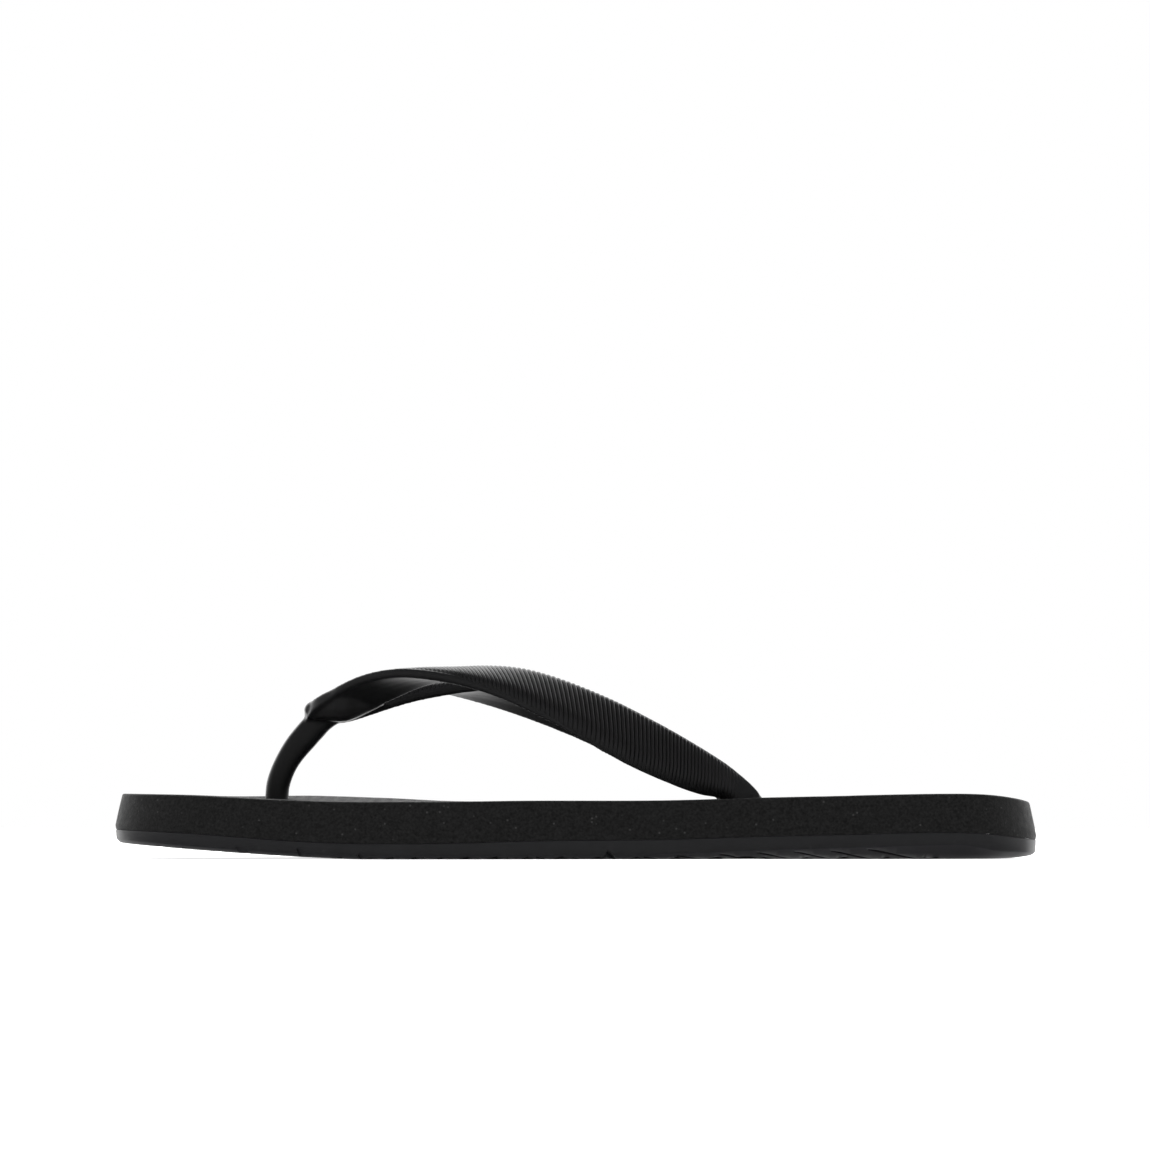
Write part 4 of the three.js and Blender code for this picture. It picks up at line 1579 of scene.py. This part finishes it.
    def build(self) -> bpy.types.Object:
        """Makes the finished strap.

        Returns:
            The strap's object.
        """
        material = INJECTED_STRAP.material()
        arms = [Arm(self.seats, side) for side in Side]
        body = self.core(arms)
        plates = [arm.ribbed_face() for arm in arms]
        tree = self.ribbing()
        for plate, arm in zip(plates, arms):
            run_tree(plate, tree, {"Rib Height": arm.rib_height * MM, "Material": material})
        combine(body, plates, "UNION")
        combine(body, [self.foam.keep_out()], "DIFFERENCE")
        shade_by_angle(body, self.crisp_angle)
        dress(body, material, "strap", Slot.STRAP)
        return body


# ---------------------------------------------------------------- camera, floor and lights
@dataclass(frozen=True)
class SoftBox:
    """A square soft light, in metres and watts, and whether it shows in glossy surfaces."""

    name: str
    place: tuple[float, float, float]
    size: float
    watts: float
    gloss: bool = True


# A wide fill that only brightens the floor, and a faint glow off each end of the shoe.
SOFT_BOXES = (
    SoftBox("floor_fill", (0.0, 0.0, 3.2), 5.0, 190, gloss=False),
    SoftBox("toe_softbox", (-1.3, 0.2, 0.3), 0.6, 0.4),
    SoftBox("heel_softbox", (1.3, 0.2, 0.2), 0.6, 0.3),
)


@dataclass
class Studio:
    """A plain white studio with the camera level with the footbed, square to the shoe's side.

    The wall behind the shoe is bright and the room in front of it is dim, as where a dark product
    is lit against white, so that its edges and crests glow and its flanks stay black.
    """

    view_width: float = 0.3616
    view_centre: tuple[float, float] = (0.0, 0.089)
    distance: float = 2.3
    eye_height: float = 0.02
    sensor: float = 36.0
    floor_hex: str = "#fafafa"
    glow: float = 0.75
    front: float = 0.155
    back: float = 1.9
    back_from: float = 0.35
    back_full: float = 0.95
    ceiling: float = 0.2
    ceiling_from: float = 0.5
    ceiling_full: float = 0.95
    ground: float = 0.08
    ground_from: float = -0.8
    floor_size: float = 2000.0
    floor_drop: float = 0.05
    aim_height: float = 0.03

    def camera(self) -> None:
        """Places the camera, with its lens set by the width it sees, as the scene's own."""
        data = bpy.data.cameras.new("camera")
        data.sensor_width = self.sensor
        data.lens = self.sensor * self.distance / self.view_width
        data.clip_end = 50
        camera = bpy.data.objects.new("camera", data)
        target = Vector((self.view_centre[0], 0, self.view_centre[1]))
        camera.location = Vector((self.view_centre[0], -self.distance, self.eye_height))
        camera.rotation_euler = (target - camera.location).to_track_quat("-Z", "Y").to_euler()
        bpy.context.scene.collection.objects.link(camera)
        bpy.context.scene.camera = camera

    def floor(self) -> None:
        """Lays a wide pale floor that glows a little and stays out of the shoe's gloss."""
        size = self.floor_size
        material = bpy.data.materials.new("painted_studio_floor")
        material.use_nodes = True
        shader = material.node_tree.nodes["Principled BSDF"]
        shader.inputs["Base Color"].default_value = linear(self.floor_hex)
        shader.inputs["Roughness"].default_value = 0.9
        shader.inputs["Specular IOR Level"].default_value = 0.2
        shader.inputs["Emission Color"].default_value = (1, 1, 1, 1)
        shader.inputs["Emission Strength"].default_value = self.glow
        points = np.array([(x * size, y * size, -self.floor_drop)
                           for x, y in ((-1, -1), (1, -1), (1, 1), (-1, 1))])
        floor = mesh_object("studio_floor", points, [(0, 1, 2, 3)])
        floor.data.materials.append(material)
        floor.visible_glossy = False

    def light(self, box: SoftBox) -> None:
        """Hangs one soft box that faces the shoe.

        Args:
            box: The soft box.
        """
        data = bpy.data.lights.new(box.name, "AREA")
        data.shape = "RECTANGLE"
        data.size = data.size_y = box.size
        data.energy = box.watts
        lamp = bpy.data.objects.new(box.name, data)
        lamp.location = box.place
        aim = Vector((0, 0, self.aim_height)) - lamp.location
        lamp.rotation_euler = aim.to_track_quat("-Z", "Y").to_euler()
        lamp.visible_glossy = box.gloss
        bpy.context.scene.collection.objects.link(lamp)

    def surroundings(self) -> None:
        """Paints the room: white to the camera, and for the light bright at the back only."""
        world = bpy.data.worlds.new("studio_room")
        world.use_nodes = True
        tree = world.node_tree
        tree.nodes.clear()
        way = add_node(tree, "ShaderNodeTexCoord").outputs["Generated"]
        split = add_node(tree, "ShaderNodeSeparateXYZ", inputs={0: way}).outputs
        behind = add_node(tree, "ShaderNodeMapRange", {"interpolation_type": "SMOOTHSTEP"}, {
            "Value": split["Y"], "From Min": self.back_from, "From Max": self.back_full,
            "To Min": self.front, "To Max": self.back})
        overhead = add_node(tree, "ShaderNodeMapRange", {"interpolation_type": "SMOOTHSTEP"}, {
            "Value": split["Z"], "From Min": self.ceiling_from, "From Max": self.ceiling_full,
            "To Min": 1.0, "To Max": self.ceiling})
        raised = add_node(tree, "ShaderNodeMapRange", {"interpolation_type": "SMOOTHSTEP"}, {
            "Value": split["Z"], "From Min": self.ground_from, "From Max": 0.0,
            "To Min": self.ground, "To Max": 1.0})
        band = add_node(tree, "ShaderNodeMath", {"operation": "MULTIPLY"}, {
            0: overhead, 1: raised})
        lit = add_node(tree, "ShaderNodeMath", {"operation": "MULTIPLY"}, {0: behind, 1: band})
        seen = add_node(tree, "ShaderNodeLightPath").outputs["Is Camera Ray"]
        strength = add_node(tree, "ShaderNodeMix", {"data_type": "FLOAT"}, {
            "Factor": seen, "A": lit, "B": 1.0})
        room = add_node(tree, "ShaderNodeBackground", inputs={
            "Color": (1, 1, 1, 1), "Strength": strength})
        add_node(tree, "ShaderNodeOutputWorld", inputs={"Surface": room})
        bpy.context.scene.world = world

    def build(self) -> None:
        """Sets up the whole studio."""
        self.camera()
        self.floor()
        self.surroundings()
        for box in SOFT_BOXES:
            self.light(box)


def main() -> None:
    """Builds the studio and the shoe, sized by the midsole's box."""
    bpy.context.scene.view_settings.view_transform = "Standard"
    Studio().build()
    low, high = (np.array(corner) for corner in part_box("midsole"))
    shape = SoleShape(length=float(high[0] - low[0]) / MM,
                      centre=tuple((low[:2] + high[:2]) / 2 / MM))
    seats = Seats(shape)
    foam = Midsole(shape, seats)
    foam.build()
    Outsole(shape, seats).build()
    Strap(seats, foam).build()


if __name__ == "__main__":
    main()
